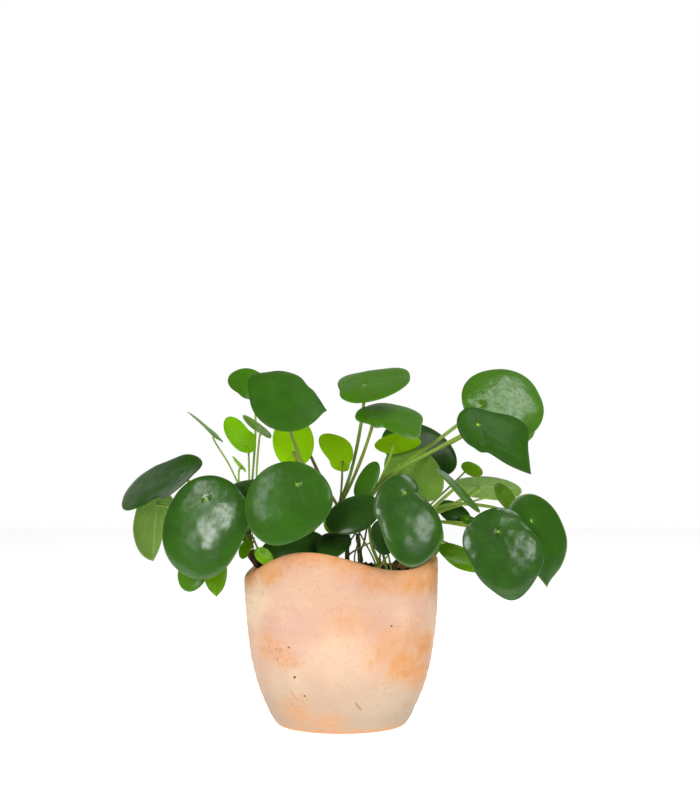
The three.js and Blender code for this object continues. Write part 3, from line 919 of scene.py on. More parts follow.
@dataclass
class Pot:
    """The thrown pot: an uneven lip, faint throwing rings, and drain holes in its floor."""

    outside: tuple = ((40, 0), (42.5, 0.8), (46, 5), (49.4, 12), (53.7, 21.6), (57.3, 32),
                      (60.1, 43), (62.1, 56), (64.2, 76), (65.1, 97), (65, 110))
    lip: tuple = ((64.2, 112.4), (62.4, 113.2), (60.6, 112.4), (59.8, 110))
    inside: tuple = ((59.8, 76), (57.2, 56), (52.2, 32), (44.6, 12), (38, 7.2))
    rim_middle: float = 113.2
    rim_starts: float = 78.0
    rim_wave: tuple = ((-110, 120), (-50, 107.5), (5, 113.5), (70, 103), (130, 109), (185, 101.5))
    floor_height: float = 6.8
    drain_holes: int = 3
    drain_radius: float = 3.5
    drain_circle: float = 17.0
    drill_depth: tuple = (-6.0, 16.0)
    ring_gap: float = 7.3
    lip_reach: float = 8.5
    foot_reach: float = 3.0
    foot_starts: float = 38.0
    foot_strength: float = 0.7
    foot_radii: tuple = (8.0, 20.0, 30.0, 37.0)
    floor_radii: tuple = (34.0, 26.0, 16.0, 8.0)
    floor_rise: float = 0.01
    dents: tuple = ((0.45, 34.0, 2.0), (0.14, 9.0, 5.0))
    dents_start: tuple = (0.5, 9.0)
    least_dented: float = 36.0
    ring_depth: float = 0.10
    ring_wander: tuple = ((1.5, 60.0, 8.0),)
    drill_sides: int = 32
    sides: int = 220
    profile_steps: int = 150

    def rim_height(self, degrees: np.ndarray) -> np.ndarray:
        """Height of the rim.

        Args:
            degrees: Angles round the axis.

        Returns:
            The heights there in millimetres.
        """
        crests = [*self.rim_wave, (self.rim_wave[0][0] + 360, self.rim_wave[0][1])]
        turn = np.mod(degrees - crests[0][0], 360) + crests[0][0]
        height = np.full(len(turn), float(crests[0][1]))
        for (start, low), (end, high) in zip(crests, crests[1:]):
            inside = (turn >= start) & (turn <= end)
            ease = (1 - np.cos(math.pi * (turn[inside] - start) / (end - start))) / 2
            height[inside] = low + (high - low) * ease
        return height

    def profile(self) -> np.ndarray:
        """The pot's section, from the foot over the lip to the floor.

        Returns:
            Radii and heights in millimetres.
        """
        knots = np.array([(r, z, 0.0) for r, z in (*self.outside, *self.lip, *self.inside)])
        wall = smooth_route(knots, self.profile_steps)[:, :2]
        foot = np.array([(r, 0.0) for r in self.foot_radii])
        floor = np.array([(r, self.floor_height + self.floor_rise * r) for r in self.floor_radii])
        return np.vstack([foot, wall, floor])

    def skin(self) -> Skin:
        """The wall, floor and lip as one closed skin.

        Returns:
            The skin. Its value "edge" is 1 on the lip and less at the foot.
        """
        profile = self.profile()
        turns = turns_of(self.sides)
        radius, height = (np.repeat(profile[:, i:i + 1], self.sides, axis=1) for i in (0, 1))
        rim = self.rim_height(np.degrees(turns))
        raised = height + (rim - self.rim_middle) * smooth(self.rim_starts, self.rim_middle, height)
        flat = rings_at(radius, raised, turns).reshape(-1, 3)
        wander = grains(flat, self.ring_wander)
        rings = self.ring_depth * np.sin(2 * math.pi * flat[:, 2] / self.ring_gap + wander)
        swell = (grains(flat, self.dents) + rings) * smooth(*self.dents_start, flat[:, 2])
        wall = radius + np.where(radius > self.least_dented, swell.reshape(radius.shape), 0)
        skin = skin_over(np.zeros(3), rings_at(wall, raised, turns) * MM, UP * self.floor_height * MM)
        lip = np.exp(-((raised - rim) / self.lip_reach) ** 2)
        foot = np.exp(-(raised / self.foot_reach) ** 2) * (radius > self.foot_starts)
        foot = foot * self.foot_strength
        skin.values["edge"] = np.concatenate([[0.0], np.maximum(lip, foot).ravel(), [0.0]])
        return skin

    def build(self) -> None:
        """Makes the pot and cuts its drain holes."""
        pot = self.skin().piece("pot_wall", TerracottaFinish().material())
        for hole in range(self.drain_holes):
            turn = 2 * math.pi * (hole + 0.25) / self.drain_holes
            centre = np.array([math.cos(turn), math.sin(turn), 0]) * self.drain_circle
            route = (centre + np.outer(np.linspace(*self.drill_depth, 3), UP)) * MM
            bore = tube(route, np.full(3, self.drain_radius * MM), self.drill_sides)
            drill = bore.piece("drill", pot.data.materials[0])
            cut = pot.modifiers.new("drain", "BOOLEAN")
            cut.operation = "DIFFERENCE"
            cut.object = drill
            bpy.context.view_layer.objects.active = pot
            bpy.ops.object.modifier_apply(modifier=cut.name)
            bpy.data.objects.remove(drill)
        dress(pot, Slot.TERRACOTTA, "pot")


@dataclass
class Soil:
    """Potting mix up to a low mound, with loose crumbs on it."""

    edge_height: float = 98.0
    mound_height: float = 107.0
    edge_radius: float = 59.8
    clearance: float = 0.3
    straight_below: float = 76.3
    lower: tuple = ((56.9, 56.3), (51.9, 32.3), (44.3, 12.3), (37.7, 7.5))
    floor_height: float = 7.5
    lumps: tuple = ((0.9, 5.0, 1.0), (0.6, 2.2, 4.0), (0.8, 14.0, 7.0))
    tone: float = 0.35
    crumbs: int = 420
    crumb_size: tuple = (0.6, 1.9)
    crumb_shape: tuple = (0.7, 1.2)
    crumb_levels: tuple = (-0.8, -0.2, 0.45, 0.85)
    crumb_sides: int = 7
    crumb_rough: float = 0.22
    crumb_tilt: float = 0.4
    crumb_tone: tuple = (0.0, 1.2)
    bark_share: float = 0.2
    bark_shape: tuple = (2.0, 0.8, 0.5)
    bark_tone: float = 3.0
    seed: int = 11
    sides: int = 140
    steps: int = 46

    def height(self, radius: np.ndarray | float) -> np.ndarray | float:
        """Height of its surface in millimetres at a distance from the axis."""
        mound = self.mound_height - self.edge_height
        return self.edge_height + mound * (1 - (radius / self.edge_radius) ** 2)

    def body(self) -> Skin:
        """The mix itself, crumbly on top.

        Returns:
            The skin.
        """
        reach = self.edge_radius - self.clearance
        radii = reach * np.linspace(0.03, 1, self.steps)
        below = [(reach, self.straight_below), *self.lower]
        profile = np.vstack([np.stack([radii, self.height(radii)], axis=1), below])
        rings = rings_at(profile[:, :1], profile[:, 1:], turns_of(self.sides))
        lumps = grains(rings.reshape(-1, 3), self.lumps)
        top = (np.arange(len(profile)) < self.steps)[:, None]
        rings[..., 2] += np.where(top, lumps.reshape(rings.shape[:2]), 0)
        skin = skin_over(UP * self.mound_height * MM, rings * MM, UP * self.floor_height * MM)
        return skin.hold(tone=self.tone)

    def crumb(self, draw: np.random.Generator) -> Skin:
        """One loose crumb or bit of bark.

        Args:
            draw: Where its random numbers come from.

        Returns:
            The skin.
        """
        radius = (self.edge_radius - 3) * math.sqrt(draw.random())
        turn = draw.random() * 2 * math.pi
        bark = draw.random() < self.bark_share
        size = draw.uniform(*self.crumb_size)
        shape = size * (np.array(self.bark_shape) if bark else draw.uniform(*self.crumb_shape, 3))
        yaw = draw.random() * math.pi
        tilt = draw.uniform(-self.crumb_tilt, self.crumb_tilt)
        levels = np.array(self.crumb_levels)[:, None]
        rings = rings_at(np.sqrt(1 - levels ** 2), levels, turns_of(self.crumb_sides))
        rings *= 1 + draw.uniform(-self.crumb_rough, self.crumb_rough, rings.shape[:2] + (1,))
        skin = skin_over(-UP, rings, UP)
        cos, sin = math.cos(yaw), math.sin(yaw)
        spin = np.array([[cos, -sin, 0], [sin, cos, 0], [0, tilt, 1]])
        centre = np.array([radius * math.cos(turn), radius * math.sin(turn),
                           self.height(radius) + 0.3 * shape[2]])
        skin.points = ((skin.points * shape) @ spin.T + centre) * MM
        return skin.hold(tone=self.bark_tone if bark else draw.uniform(*self.crumb_tone))

    def build(self) -> None:
        """Makes the soil with its crumbs."""
        draw = np.random.default_rng(self.seed)
        skins = [self.body(), *(self.crumb(draw) for _ in range(self.crumbs))]
        dress(joined(skins).piece("potting_mix", SoilFinish().material()), Slot.SOIL, "soil")


# Foliage


@dataclass(frozen=True)
class LeafLook:
    """How one leaf differs from the others of its age.

    All are shares or factors: the quilting between its veins, the ripples of its gloss, how matt it is,
    its tone from -1 to 1, how much painted shade darkens it, its dot, its pale margin (where large, a
    painted highlight along the rim), its pale vein lines (below, and where large also on top as painted
    highlight stripes), how much lime and painted glow it has, how far its veins bend towards the tip,
    how sharp the tip is, how many degrees off its length the tip lies, and how far its outline is evened.
    """

    quilt: float = 0.05
    ripple: float = 0.6
    dull: float = 0.4
    tone: float = 0.0
    # painted shade: share mixed towards near-black green
    shade: float = 0.0
    dot: float = 1.0
    # pale margin; large values paint a glossy rim, a painted highlight
    edge: float = 0.05
    # pale vein lines; large values also paint highlight stripes on top
    line: float = 0.15
    # lime yellow-green laid over, partly painted glow
    lime: float = 0.0
    flow: float = 0.42
    sharp: float = 0.0
    corner: float = 0.0
    even: float = 0.0


LOOKS = {
    1: LeafLook(0.1, 0.8, 0.35, -0.6, 0.1, 0.5),
    2: LeafLook(0.3, 0.3, 0.3, 0.5, line=0.3, edge=0.5, lime=0.05, flow=1.3, sharp=0.1),
    3: LeafLook(0.05, 1.2, 0.0, -0.2),
    4: LeafLook(0.2, 0.5, 0.6, 1.0, lime=0.15),
    5: LeafLook(0.2, 0.3, 0.6, -0.8, 0.4, sharp=0.1),
    6: LeafLook(0.1, 0.3, 0.6, 1.0, edge=0.9, lime=0.3),
    7: LeafLook(0.05, 0.2, 0.9, -0.6, 0.06, line=0.3),
    8: LeafLook(0.2, 0.3, 0.4, line=0.9, edge=0.8, flow=1.3),
    9: LeafLook(0.05, 0.1, 0.9),
    10: LeafLook(0.05, 0.4, 0.7, 0.3),
    11: LeafLook(0.05, 0.5, 0.95, 0.2, dot=0.0, sharp=0.1, corner=15, even=0.35),
    13: LeafLook(0.05, 0.5, 0.6, -0.3, 0.3),
    14: LeafLook(0.05, 1.1, 0.72, 0.0),
    16: LeafLook(0.05, 0.4, 0.6, 0.8, edge=0.1, lime=0.12),
    17: LeafLook(0.05, 0.3, 0.7, 1.0, dot=0.0, edge=0.3, lime=0.08, even=0.15),
    18: LeafLook(0.05, 0.3, 0.6, -0.5),
    19: LeafLook(0.05, 0.3, 0.8, 0.1, 0.25),
    20: LeafLook(0.1, 0.3, 0.5, 1.0, edge=0.6, line=0.2, lime=0.5, flow=0.9),
    21: LeafLook(0.05, 0.5, 0.6, -0.6, 0.3, 0.0),
    22: LeafLook(0.05, 0.3, 0.7, -0.2, 0.2, 0.0),
    23: LeafLook(0.05, 1.1, 0.2, -0.7, edge=0.15),
    24: LeafLook(0.05, 1.6, 0.2, 0.9, lime=0.1),
    25: LeafLook(0.05, 0.3, 0.95, -0.4, sharp=0.14, even=0.12),
    27: LeafLook(0.2, 0.3, 0.5, -0.5, 0.45),
    28: LeafLook(0.3, 0.5, 0.5, 0.3, edge=0.5, line=0.4, flow=0.7),
    29: LeafLook(0.2, 0.3, 0.6, -0.5, 0.6, edge=0.8),
    30: LeafLook(0.1, 1.8, 0.1, -0.7, edge=0.0),
    31: LeafLook(0.05, 0.3, 0.7, -0.3, edge=0.4, sharp=0.14),
    32: LeafLook(0.05, 0.3, 0.7, -0.3, 0.4),
    33: LeafLook(0.2, 0.3, 0.6, 1.0, lime=0.7),
    34: LeafLook(0.05, 0.3, 0.8, -0.3, 0.4, 0.0),
    36: LeafLook(0.2, 0.3, 0.8, -0.5, 0.35),
    37: LeafLook(0.05, 0.3, 0.8, -0.3, 0.45, 0.0),
    38: LeafLook(0.05, 0.3, 0.8, -0.5, 0.6, 0.0),
}


# Where the rings of a blade's solid lie on its rays: where it has many rays, and where it has few
MANY_RAYS = 16
RING_SHARES = {True: (0.3, 0.68, 1.0), False: (0.5, 1.0)}


@dataclass
class Blade:
    """A leaf blade as the frame holds it, and as a finer skin of the same form.

    The frame's blade is two centres, above and below the petiole's end, with rings round them. Along
    each ray from the centre the middle surface runs out by a*s + b*s^3 and up by c*s^2 + d*s^3.
    """

    number: int
    node: bpy.types.Object
    slot: Slot
    small_rays: int = 12
    large_mesh: tuple = (144, 30)
    small_mesh: tuple = (96, 18)
    thick: float = 0.85
    small_thick: float = 0.75
    thin_margin: float = 0.55
    full_length: float = 60.0
    most_size: float = 1.2
    dimple_depth: tuple = (0.5, 0.3)
    dimple_reach: float = 2.2
    vein_reach: float = 1.9
    quilt_depth: float = 0.34
    brink_droop: float = 0.5
    brink_round: float = 0.8
    soft_gap: float = 13.0
    soft_height: float = 0.5
    crisp_gap: float = 4.6
    crisp_height: float = 0.09
    corner_width: float = 0.09
    corner_reach: float = 0.5
    point: np.ndarray = field(init=False)
    normal: np.ndarray = field(init=False)
    tip: np.ndarray = field(init=False)
    right: np.ndarray = field(init=False)
    rays: np.ndarray = field(init=False)

    def __post_init__(self) -> None:
        """Reads the node's rings."""
        places = np.array([v.co for v in self.node.data.vertices])
        _, first, same = np.unique(np.round(places / (0.01 * MM)).astype(int), axis=0,
                                   return_index=True, return_inverse=True)
        points, same = places[first], same.ravel()
        near: list[set[int]] = [set() for _ in points]
        for face in self.node.data.polygons:
            corners = [int(same[i]) for i in face.vertices]
            for a, b in zip(corners, corners[1:] + corners[:1]):
                near[a].add(b)
                near[b].add(a)
        centres = sorted(range(len(points)), key=lambda i: len(near[i]))[-2:]
        low, high = sorted(centres, key=lambda i: points[i][2])
        sides = len(near[high])
        self.point = (points[low] + points[high]) / 2
        self.normal = unit(points[high] - points[low])
        rings = self._rings(near, high, sides)
        self.rays = self._rays(points, near, rings, low, sides)

    def _rings(self, near: list[set[int]], start: int, sides: int) -> list[list[int]]:
        """The rings round a centre, from it outwards.

        Args:
            near: The neighbours of each point.
            start: The centre.
            sides: Points of each ring.

        Returns:
            The points' numbers, ring by ring.
        """
        seen, ring, rings = {start}, set(near[start]), []
        for _ in RING_SHARES[sides >= MANY_RAYS]:
            rings.append(sorted(ring))
            seen |= ring
            ring = set().union(*(near[i] for i in ring)) - seen
        return rings

    def _rays(self, points: np.ndarray, near: list[set[int]], rings: list[list[int]], low: int,
              sides: int) -> np.ndarray:
        """The coefficients a, b, c, d of each ray, in metres, starting at the tip's.

        Args:
            points: All points of the node.
            near: The neighbours of each point.
            rings: The upper rings.
            low: The lower centre.
            sides: Number of rays.

        Returns:
            One row for each ray.
        """
        below = self._rings(near, low, sides)
        margin = points[rings[-1]] - self.point
        flat = margin - np.outer(margin @ self.normal, self.normal)
        self.tip = unit(flat[np.argmax(np.linalg.norm(flat, axis=1))])
        self.right = np.cross(self.normal, self.tip)
        shares = np.array(RING_SHARES[sides >= MANY_RAYS])
        runs = np.empty((sides, len(shares)))
        lifts = np.empty((sides, len(shares)))
        for k, (upper, lower) in enumerate(zip(rings, below)):
            for indices in (upper, lower):
                away = points[indices] - self.point
                turn = np.arctan2(away @ self.right, away @ self.tip)
                ray = np.round(turn / (2 * math.pi) * sides).astype(int) % sides
                lift = away @ self.normal
                run = np.linalg.norm(away - np.outer(lift, self.normal), axis=1)
                runs[ray, k] = run if indices is upper else (runs[ray, k] + run) / 2
                lifts[ray, k] = lift if indices is upper else (lifts[ray, k] + lift) / 2
        out = np.linalg.lstsq(np.stack([shares, shares ** 3], axis=1), runs.T, rcond=None)[0]
        up = np.linalg.lstsq(np.stack([shares ** 2, shares ** 3], axis=1), lifts.T, rcond=None)[0]
        return np.vstack([out, up]).T

    @property
    def large(self) -> bool:
        """Whether its petiole is a thick one."""
        return len(self.rays) > self.small_rays

    @property
    def length(self) -> float:
        """Its length in metres."""
        run = self.rays[:, 0] + self.rays[:, 1]
        return float(run[0] + run[len(run) // 2])

    @property
    def size(self) -> float:
        """Its length against that of a full blade, up to a limit."""
        return min(self.most_size, self.length / (self.full_length * MM))

    @staticmethod
    def veins(turns: np.ndarray, shares: np.ndarray, reach: np.ndarray, flow: float) -> np.ndarray:
        """Distance to the nearest main vein.

        Args:
            turns: Angles from the tip.
            shares: Shares of the way from the centre to the margin.
            reach: Distances from the centre in metres, by angle and share.
            flow: How far the veins bend towards the tip.

        Returns:
            The distances in metres, by angle and share.
        """
        rays = BladeFinish.rays
        bent = turns[:, None] + flow * shares[None] * np.sin(turns)[:, None]
        beat = bent * rays / (2 * math.pi)
        return np.abs(beat - np.round(beat)) * (2 * math.pi / rays) * reach

    def _form(self, look: LeafLook, turns: np.ndarray,
              shares: np.ndarray) -> tuple[np.ndarray, np.ndarray]:
        """The form of the middle surface: quilted between its veins and dimpled at the petiole.

        Args:
            look: The leaf's look.
            turns: Angles from the tip.
            shares: Shares of the way from the centre to the margin.

        Returns:
            Distances from the centre, and heights, in metres by angle and share.
        """
        beside = (np.roll(self.rays, 1, axis=0) + np.roll(self.rays, -1, axis=0)) / 2
        a, b, c, d = closed_curve(self.rays + (beside - self.rays) * look.even, turns).T[..., None]
        aside = math.pi - np.abs(np.mod(turns - math.radians(look.corner), 2 * math.pi) - math.pi)
        narrow = look.sharp * (1 - np.exp(-aside / self.corner_width))
        narrow *= np.exp(-(aside / self.corner_reach) ** 2)
        run = (a * shares + b * shares ** 3) * (1 - narrow[:, None] * shares ** 2)
        gap = self.veins(turns, shares, run, look.flow)
        quilt = 1 - np.exp(-(gap / (self.vein_reach * MM)) ** 2)
        quilt = quilt * smooth(0.08, 0.3, shares) * (1 - 0.6 * shares ** 4)
        quilt = quilt * self.quilt_depth * MM * self.size * look.quilt
        lift = c * shares ** 2 + d * shares ** 3 + quilt
        lift -= self.brink_droop * MM * self.size * shares ** 12
        least, more = self.dimple_depth
        dimple = (least + more * look.dot) * MM * np.exp(-(run / (self.dimple_reach * MM)) ** 2)
        lift -= dimple * min(1, self.size)
        return run, lift

    def _middle(self, look: LeafLook, turns: np.ndarray, shares: np.ndarray, run: np.ndarray,
                lift: np.ndarray) -> np.ndarray:
        """The middle surface, a little uneven.

        Args:
            look: The leaf's look.
            turns: Angles from the tip.
            shares: Shares of the way from the centre to the margin.
            run: Distances from the centre, by angle and share.
            lift: Heights, by angle and share.

        Returns:
            Its points, by angle and share.
        """
        outward = np.outer(np.cos(turns), self.tip) + np.outer(np.sin(turns), self.right)
        middle = self.point + outward[:, None] * run[..., None] + self.normal * lift[..., None]
        soft, crisp = (grain(middle.reshape(-1, 3), gap * MM, self.number * seed).reshape(run.shape)
                       for gap, seed in ((self.soft_gap, 3.7), (self.crisp_gap, 2.3)))
        uneven = soft * self.soft_height * smooth(0.1, 0.7, shares)
        uneven += crisp * self.crisp_height * look.ripple * smooth(0.05, 0.3, shares)
        return middle + self.normal * (uneven * MM * self.size)[..., None]

    def skin(self) -> Skin:
        """The finer blade, thin at the margin.

        Returns:
            The skin, with the values that its finish reads.
        """
        look = LOOKS.get(self.number, LeafLook())
        sides, steps = self.large_mesh if self.large else self.small_mesh
        turns = turns_of(sides)
        shares = np.linspace(0, 1, steps + 1)[1:] ** 0.9
        run, lift = self._form(look, turns, shares)
        middle = self._middle(look, turns, shares, run, lift)
        across = np.gradient(np.concatenate([middle[-1:], middle, middle[:1]]), axis=0)[1:-1]
        normals = unit(np.cross(np.gradient(middle, axis=1), across))
        if np.sum(normals * self.normal) < 0:
            normals = -normals
        half = (self.thick / 2) * MM * (1 - self.thin_margin * shares ** 8)
        half *= self.small_thick + (1 - self.small_thick) * min(1, self.size)
        upper = middle + normals * half[None, :, None]
        lower = middle - normals * half[None, :, None]
        brink = middle[:, -1] + unit(middle[:, -1] - middle[:, -2]) * half[-1] * self.brink_round
        dip = self.normal * lift[:, 0].mean()
        rings = np.concatenate([upper.swapaxes(0, 1), brink[None], lower.swapaxes(0, 1)[::-1]])
        middle_up = self.normal * half[0]
        skin = skin_over(self.point + dip + middle_up, rings, self.point + dip - middle_up)
        self._hold(skin, turns, shares, run, look)
        return skin

    def _hold(self, skin: Skin, turns: np.ndarray, shares: np.ndarray, run: np.ndarray,
              look: LeafLook) -> None:
        """Gives the skin the values that its finish reads.

        Args:
            skin: The skin.
            turns: Angles from the tip.
            shares: Shares of the way from the centre to the margin.
            run: Distances from the centre, by angle and share.
            look: The leaf's look.
        """
        def both(grid: np.ndarray) -> np.ndarray:
            """Values of the two faces, of the brink between them, and 0 for the two centres."""
            rows = grid.T
            return np.concatenate([[0.0], rows.ravel(), rows[-1], rows[::-1].ravel(), [0.0]])
        skin.values["blade_x"] = both(run * np.cos(turns)[:, None])
        skin.values["blade_y"] = both(run * np.sin(turns)[:, None])
        skin.values["share"] = both(np.broadcast_to(shares, run.shape))
        face = 1 + run.size
        above = np.zeros(len(skin.points))
        above[:face] = 1
        above[face:face + len(turns)] = 0.5
        skin.values["above"] = above
        keys = ("ripple", "dull", "tone", "shade", "dot", "edge", "line", "lime", "flow")
        skin.hold(**{key: getattr(look, key) for key in keys})

    def build(self, finishes: dict[Slot, bpy.types.Material]) -> None:
        """Makes the blade."""
        piece = self.skin().piece(f"blade_{self.number:02d}", finishes[self.slot])
        dress(piece, self.slot, self.node["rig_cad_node"])


@dataclass(frozen=True)
class Runner:
    """A thin bare stalk of the side shoot: the points that it passes in millimetres, and its radius."""

    knots: tuple
    radius: float
    ruddy: float = 0.0
    steps: int = 24
    sides: int = 10

    def skin(self) -> Skin:
        """The stalk, a little slimmer towards its end.

        Returns:
            The skin.
        """
        girth = self.radius * MM * np.linspace(1.15, 0.9, self.steps)
        skin = tube(smooth_route(np.array(self.knots, float), self.steps) * MM, girth, self.sides)
        skin.values["along"] *= 0.6
        return skin.hold(ruddy=self.ruddy)


RUNNERS = (
    Runner(((24, -34, 100), (22, -34, 112), (16, -33, 124), (9, -31, 136)), 0.6, 0.2),
    Runner(((31, -35, 100), (29, -35, 112), (25, -34, 123), (18, -32, 136)), 0.9),
    Runner(((34, -35, 100), (32, -35, 112), (30, -35, 121), (27, -34, 130)), 0.65),
    Runner(((0, -36, 101), (4, -35, 115), (14, -34, 122), (24, -34, 126)), 0.6, 0.6),
    Runner(((14, -30, 102), (12, -30, 116), (15, -31, 124), (17, -32, 134)), 0.7, 0.9),
    Runner(((9, -32, 102), (9, -32, 116), (11, -32, 124), (13, -32, 134)), 0.5, 0.7),
    Runner(((6, -28, 103), (5, -28, 122), (8, -28, 128), (12, -29, 133)), 0.6),
    Runner(((20, -42, 101), (28, -42, 113), (32, -40, 119), (36, -38, 128)), 0.5, 0.3),
)


@dataclass
class Crown:
    """A stem in the soil, the green shoot on it, and the petioles that grow from the shoot.

    Millimetres, as in the source of the solids. A crown with no top is a side shoot in the soil.
    """

    name: str
    foot: tuple
    tip: tuple
    leaves: tuple
    top: tuple | None = None
    wood: float = 0.0
    stem_depth: float = 14.0
    clearance: float = 0.3
    petiole_steps: int = 40
    petiole_sides: int = 14
    petiole_radius: float = 1.15
    young_radius: float = 0.7
    scale_steps: int = 8
    scale_girth: tuple = (0.9, 0.12)
    shoot_steps: int = 14
    shoot_sides: int = 20
    shoot_girth: tuple = (0.85, 0.9, 0.6)
    stem_steps: int = 70
    stem_sides: int = 24
    stem_girth: tuple = (0.95, 1, 0.85)
    old_wood: float = 2.0
    lowest: float = 0.32
    lowest_side_shoot: float = 0.85
    highest: float = 0.95
    straight_above: float = 5.0
    least_girth: float = 2.2

    @property
    def girth(self) -> float:
        """Radius of the shoot."""
        return max(self.wood, self.least_girth)

    def foot_line(self, soil: Soil) -> tuple[np.ndarray, np.ndarray]:
        """The straight foot of the stem.

        Args:
            soil: The soil that it stands in.

        Returns:
            Its lower end, and its upper end a little above the soil.
        """
        x, y = self.foot
        ground = np.array([x, y, soil.height(math.hypot(x, y))])
        along = unit(unit(np.array(self.top or self.tip) - ground) * 0.4 + UP * 0.6)
        return ground - along * self.stem_depth, ground + along * self.straight_above

    def shoot(self, soil: Soil) -> tuple[np.ndarray, np.ndarray]:
        """The green shoot.

        Args:
            soil: The soil.

        Returns:
            Its lower and its upper end.
        """
        tip = np.array(self.tip, float)
        if self.top is None:
            return self.foot_line(soil)[0], tip
        top = np.array(self.top, float)
        return top + unit(tip - top) * (self.clearance + 0.2), tip

    def root(self, order: int, soil: Soil) -> np.ndarray:
        """Where a petiole grows from the shoot.

        Args:
            order: The petiole's place among the crown's, from the lowest up.
            soil: The soil.

        Returns:
            The point in millimetres.
        """
        start, tip = self.shoot(soil)
        lowest = self.lowest if self.top else self.lowest_side_shoot
        place = lowest + (self.highest - lowest) * ((order + 0.5) / len(self.leaves))
        return start + (tip - start) * place

    def petiole_route(self, blade: Blade, root: np.ndarray) -> np.ndarray:
        """The knots of a petiole's route, as in the source of the solids.

        Args:
            blade: The blade at its end.
            root: Where it starts.

        Returns:
            The knots in millimetres.
        """
        end = blade.point / MM - blade.normal * 0.75
        span = float(np.linalg.norm(end - root))
        outward = unit((end - root) * np.array([1, 1, 0]))
        leave = unit(UP * 0.8 + outward * 0.6)
        sweep = [root, root + leave * span * 0.35, end - blade.normal * span * 0.14, end]
        bow = np.array(BOWS.get(blade.number, (0, 0, 0)), float)
        return np.array([root, bezier(sweep, 0.3) + bow, bezier(sweep, 0.6) + bow,
                         end - blade.normal * min(1.6, span * 0.06), end])

    def petiole(self, blade: Blade, root: np.ndarray) -> Skin:
        """A petiole: thick where it leaves the shoot, slim on its way, a little wider at the blade.

        Args:
            blade: The blade at its end.
            root: Where it starts.

        Returns:
            The skin.
        """
        route = smooth_route(self.petiole_route(blade, root), self.petiole_steps) * MM
        share = np.linspace(0, 1, self.petiole_steps)
        radius = SLIM.get(blade.number, self.petiole_radius) if blade.large else self.young_radius
        radius *= MM
        girth = radius * (1 + 0.35 * np.exp(-(share / 0.07) ** 2))
        girth += radius * 0.22 * np.exp(-((1 - share) / 0.05) ** 2)
        girth *= 1 + 0.05 * np.sin(17 * share + blade.number)
        route[-1] += blade.normal * 0.5 * MM
        ruddy = RUDDY.get(blade.number, 0.06 * (blade.number % 3))
        return tube(route, girth, self.petiole_sides).hold(ruddy=ruddy)

    def stipule(self, order: int, root: np.ndarray) -> Skin:
        """A small papery scale at the root of a petiole.

        Args:
            order: The petiole's place among the crown's.
            root: The petiole's root.

        Returns:
            The skin.
        """
        turn = order * 2.4
        out = np.array([math.cos(turn), math.sin(turn), 0])
        foot = root + out * self.girth * 0.6
        knots = np.array([foot, foot + out * 1.2 + UP * 1.8, foot + out * 1.8 + UP * 4.2])
        route = smooth_route(knots, self.scale_steps) * MM
        girth = np.linspace(*self.scale_girth, self.scale_steps) * MM
        return tube(route, girth, 8).hold(along=0.0, ruddy=1.3)

    def build_petioles(self, blades: dict[int, Blade], soil: Soil, finish: bpy.types.Material) -> None:
        """Makes the green shoot with all its petioles, as one piece.

        Args:
            blades: The blades, by number.
            soil: The soil.
            finish: The petioles' material.
        """
        share = np.linspace(0, 1, self.shoot_steps)
        girth = np.interp(share, [0, 0.5, 1], np.array(self.shoot_girth) * self.girth) * MM
        shoot = tube(np.linspace(*self.shoot(soil), self.shoot_steps) * MM, girth, self.shoot_sides)
        skins = [shoot.hold(along=0.1, ruddy=0.35)]
        for order, number in enumerate(self.leaves):
            root = self.root(order, soil)
            skins += [self.petiole(blades[number], root), self.stipule(order, root)]
        if self.top is None:
            skins += [runner.skin() for runner in RUNNERS]
        piece = joined(skins).piece(f"stalks_{self.name}", finish)
        dress(piece, Slot.PETIOLE, f"petioles_{self.name}")

    def build_stem(self, soil: Soil, finish: bpy.types.Material) -> None:
        """Makes the woody stem, ringed with the scars of fallen leaves.

        Args:
            soil: The soil.
            finish: The bark.
        """
        foot, ground = self.foot_line(soil)
        top = np.array(self.top, float)
        shoot = unit(np.array(self.tip, float) - top)
        knots = np.array([foot, foot + (ground - foot) * 0.6, ground, top - shoot * 5, top])
        steps, sides = self.stem_steps, self.stem_sides
        share = np.linspace(0, 1, steps)
        girth = np.interp(share, [0, 0.5, 1], np.array(self.stem_girth) * self.wood) * MM
        scars = 1 + 0.14 * np.abs(np.sin(share * 16)) ** 3
        rough = rings_at(np.ones((steps, 1)), (share * 6)[:, None], turns_of(sides))
        swell = 1 + 0.16 * grain(rough.reshape(-1, 3), 0.7, self.wood).reshape(steps, sides)
        old = self.wood > self.old_wood
        knob = 1 + (0.3 if old else 0.0) * smooth(0.6, 0.75, share) * (1 - smooth(0.9, 1.0, share))
        skin = tube(smooth_route(knots, steps) * MM, girth * scars * knob, sides, swell)
        piece = skin.hold(green=0.0 if old else 0.6).piece(f"trunk_{self.name}", finish)
        dress(piece, Slot.STEM, f"stem_{self.name}")


CROWNS = (
    Crown("left", (-52, -8), (-63, -10, 129), (1, 2, 3, 4, 5, 6, 7, 8, 9, 10, 13, 35, 36, 44),
          (-60, -10, 118), 2.6),
    Crown("inner", (-3, 4), (-7, 6, 142), (11, 12, 14, 15, 16, 17, 34, 37, 39), (-6, 6, 124), 1.6),
    Crown("middle", (13, 0), (9, 3, 148), (18, 20, 22, 24, 25), (11, 2, 128), 1.6),
    Crown("right", (36, -4), (42, -5, 132), (23, 26, 27, 28, 29, 30, 31, 32, 33, 40, 43),
          (40, -5, 116), 1.6),
    Crown("back", (4, 34), (4, 42, 138), (19, 41, 42, 45, 46), (4, 40, 120), 1.6),
    Crown("pup", (25, -36), (25, -37, 114), (21, 38)),
)

# How far a petiole's middle is pushed aside, by leaf number, as in the source of the solids
BOWS = {6: (9, 0, 0), 16: (-2, 4, 0), 31: (2, 18, 6), 43: (0, 2, -14), 46: (0, 22, 0)}

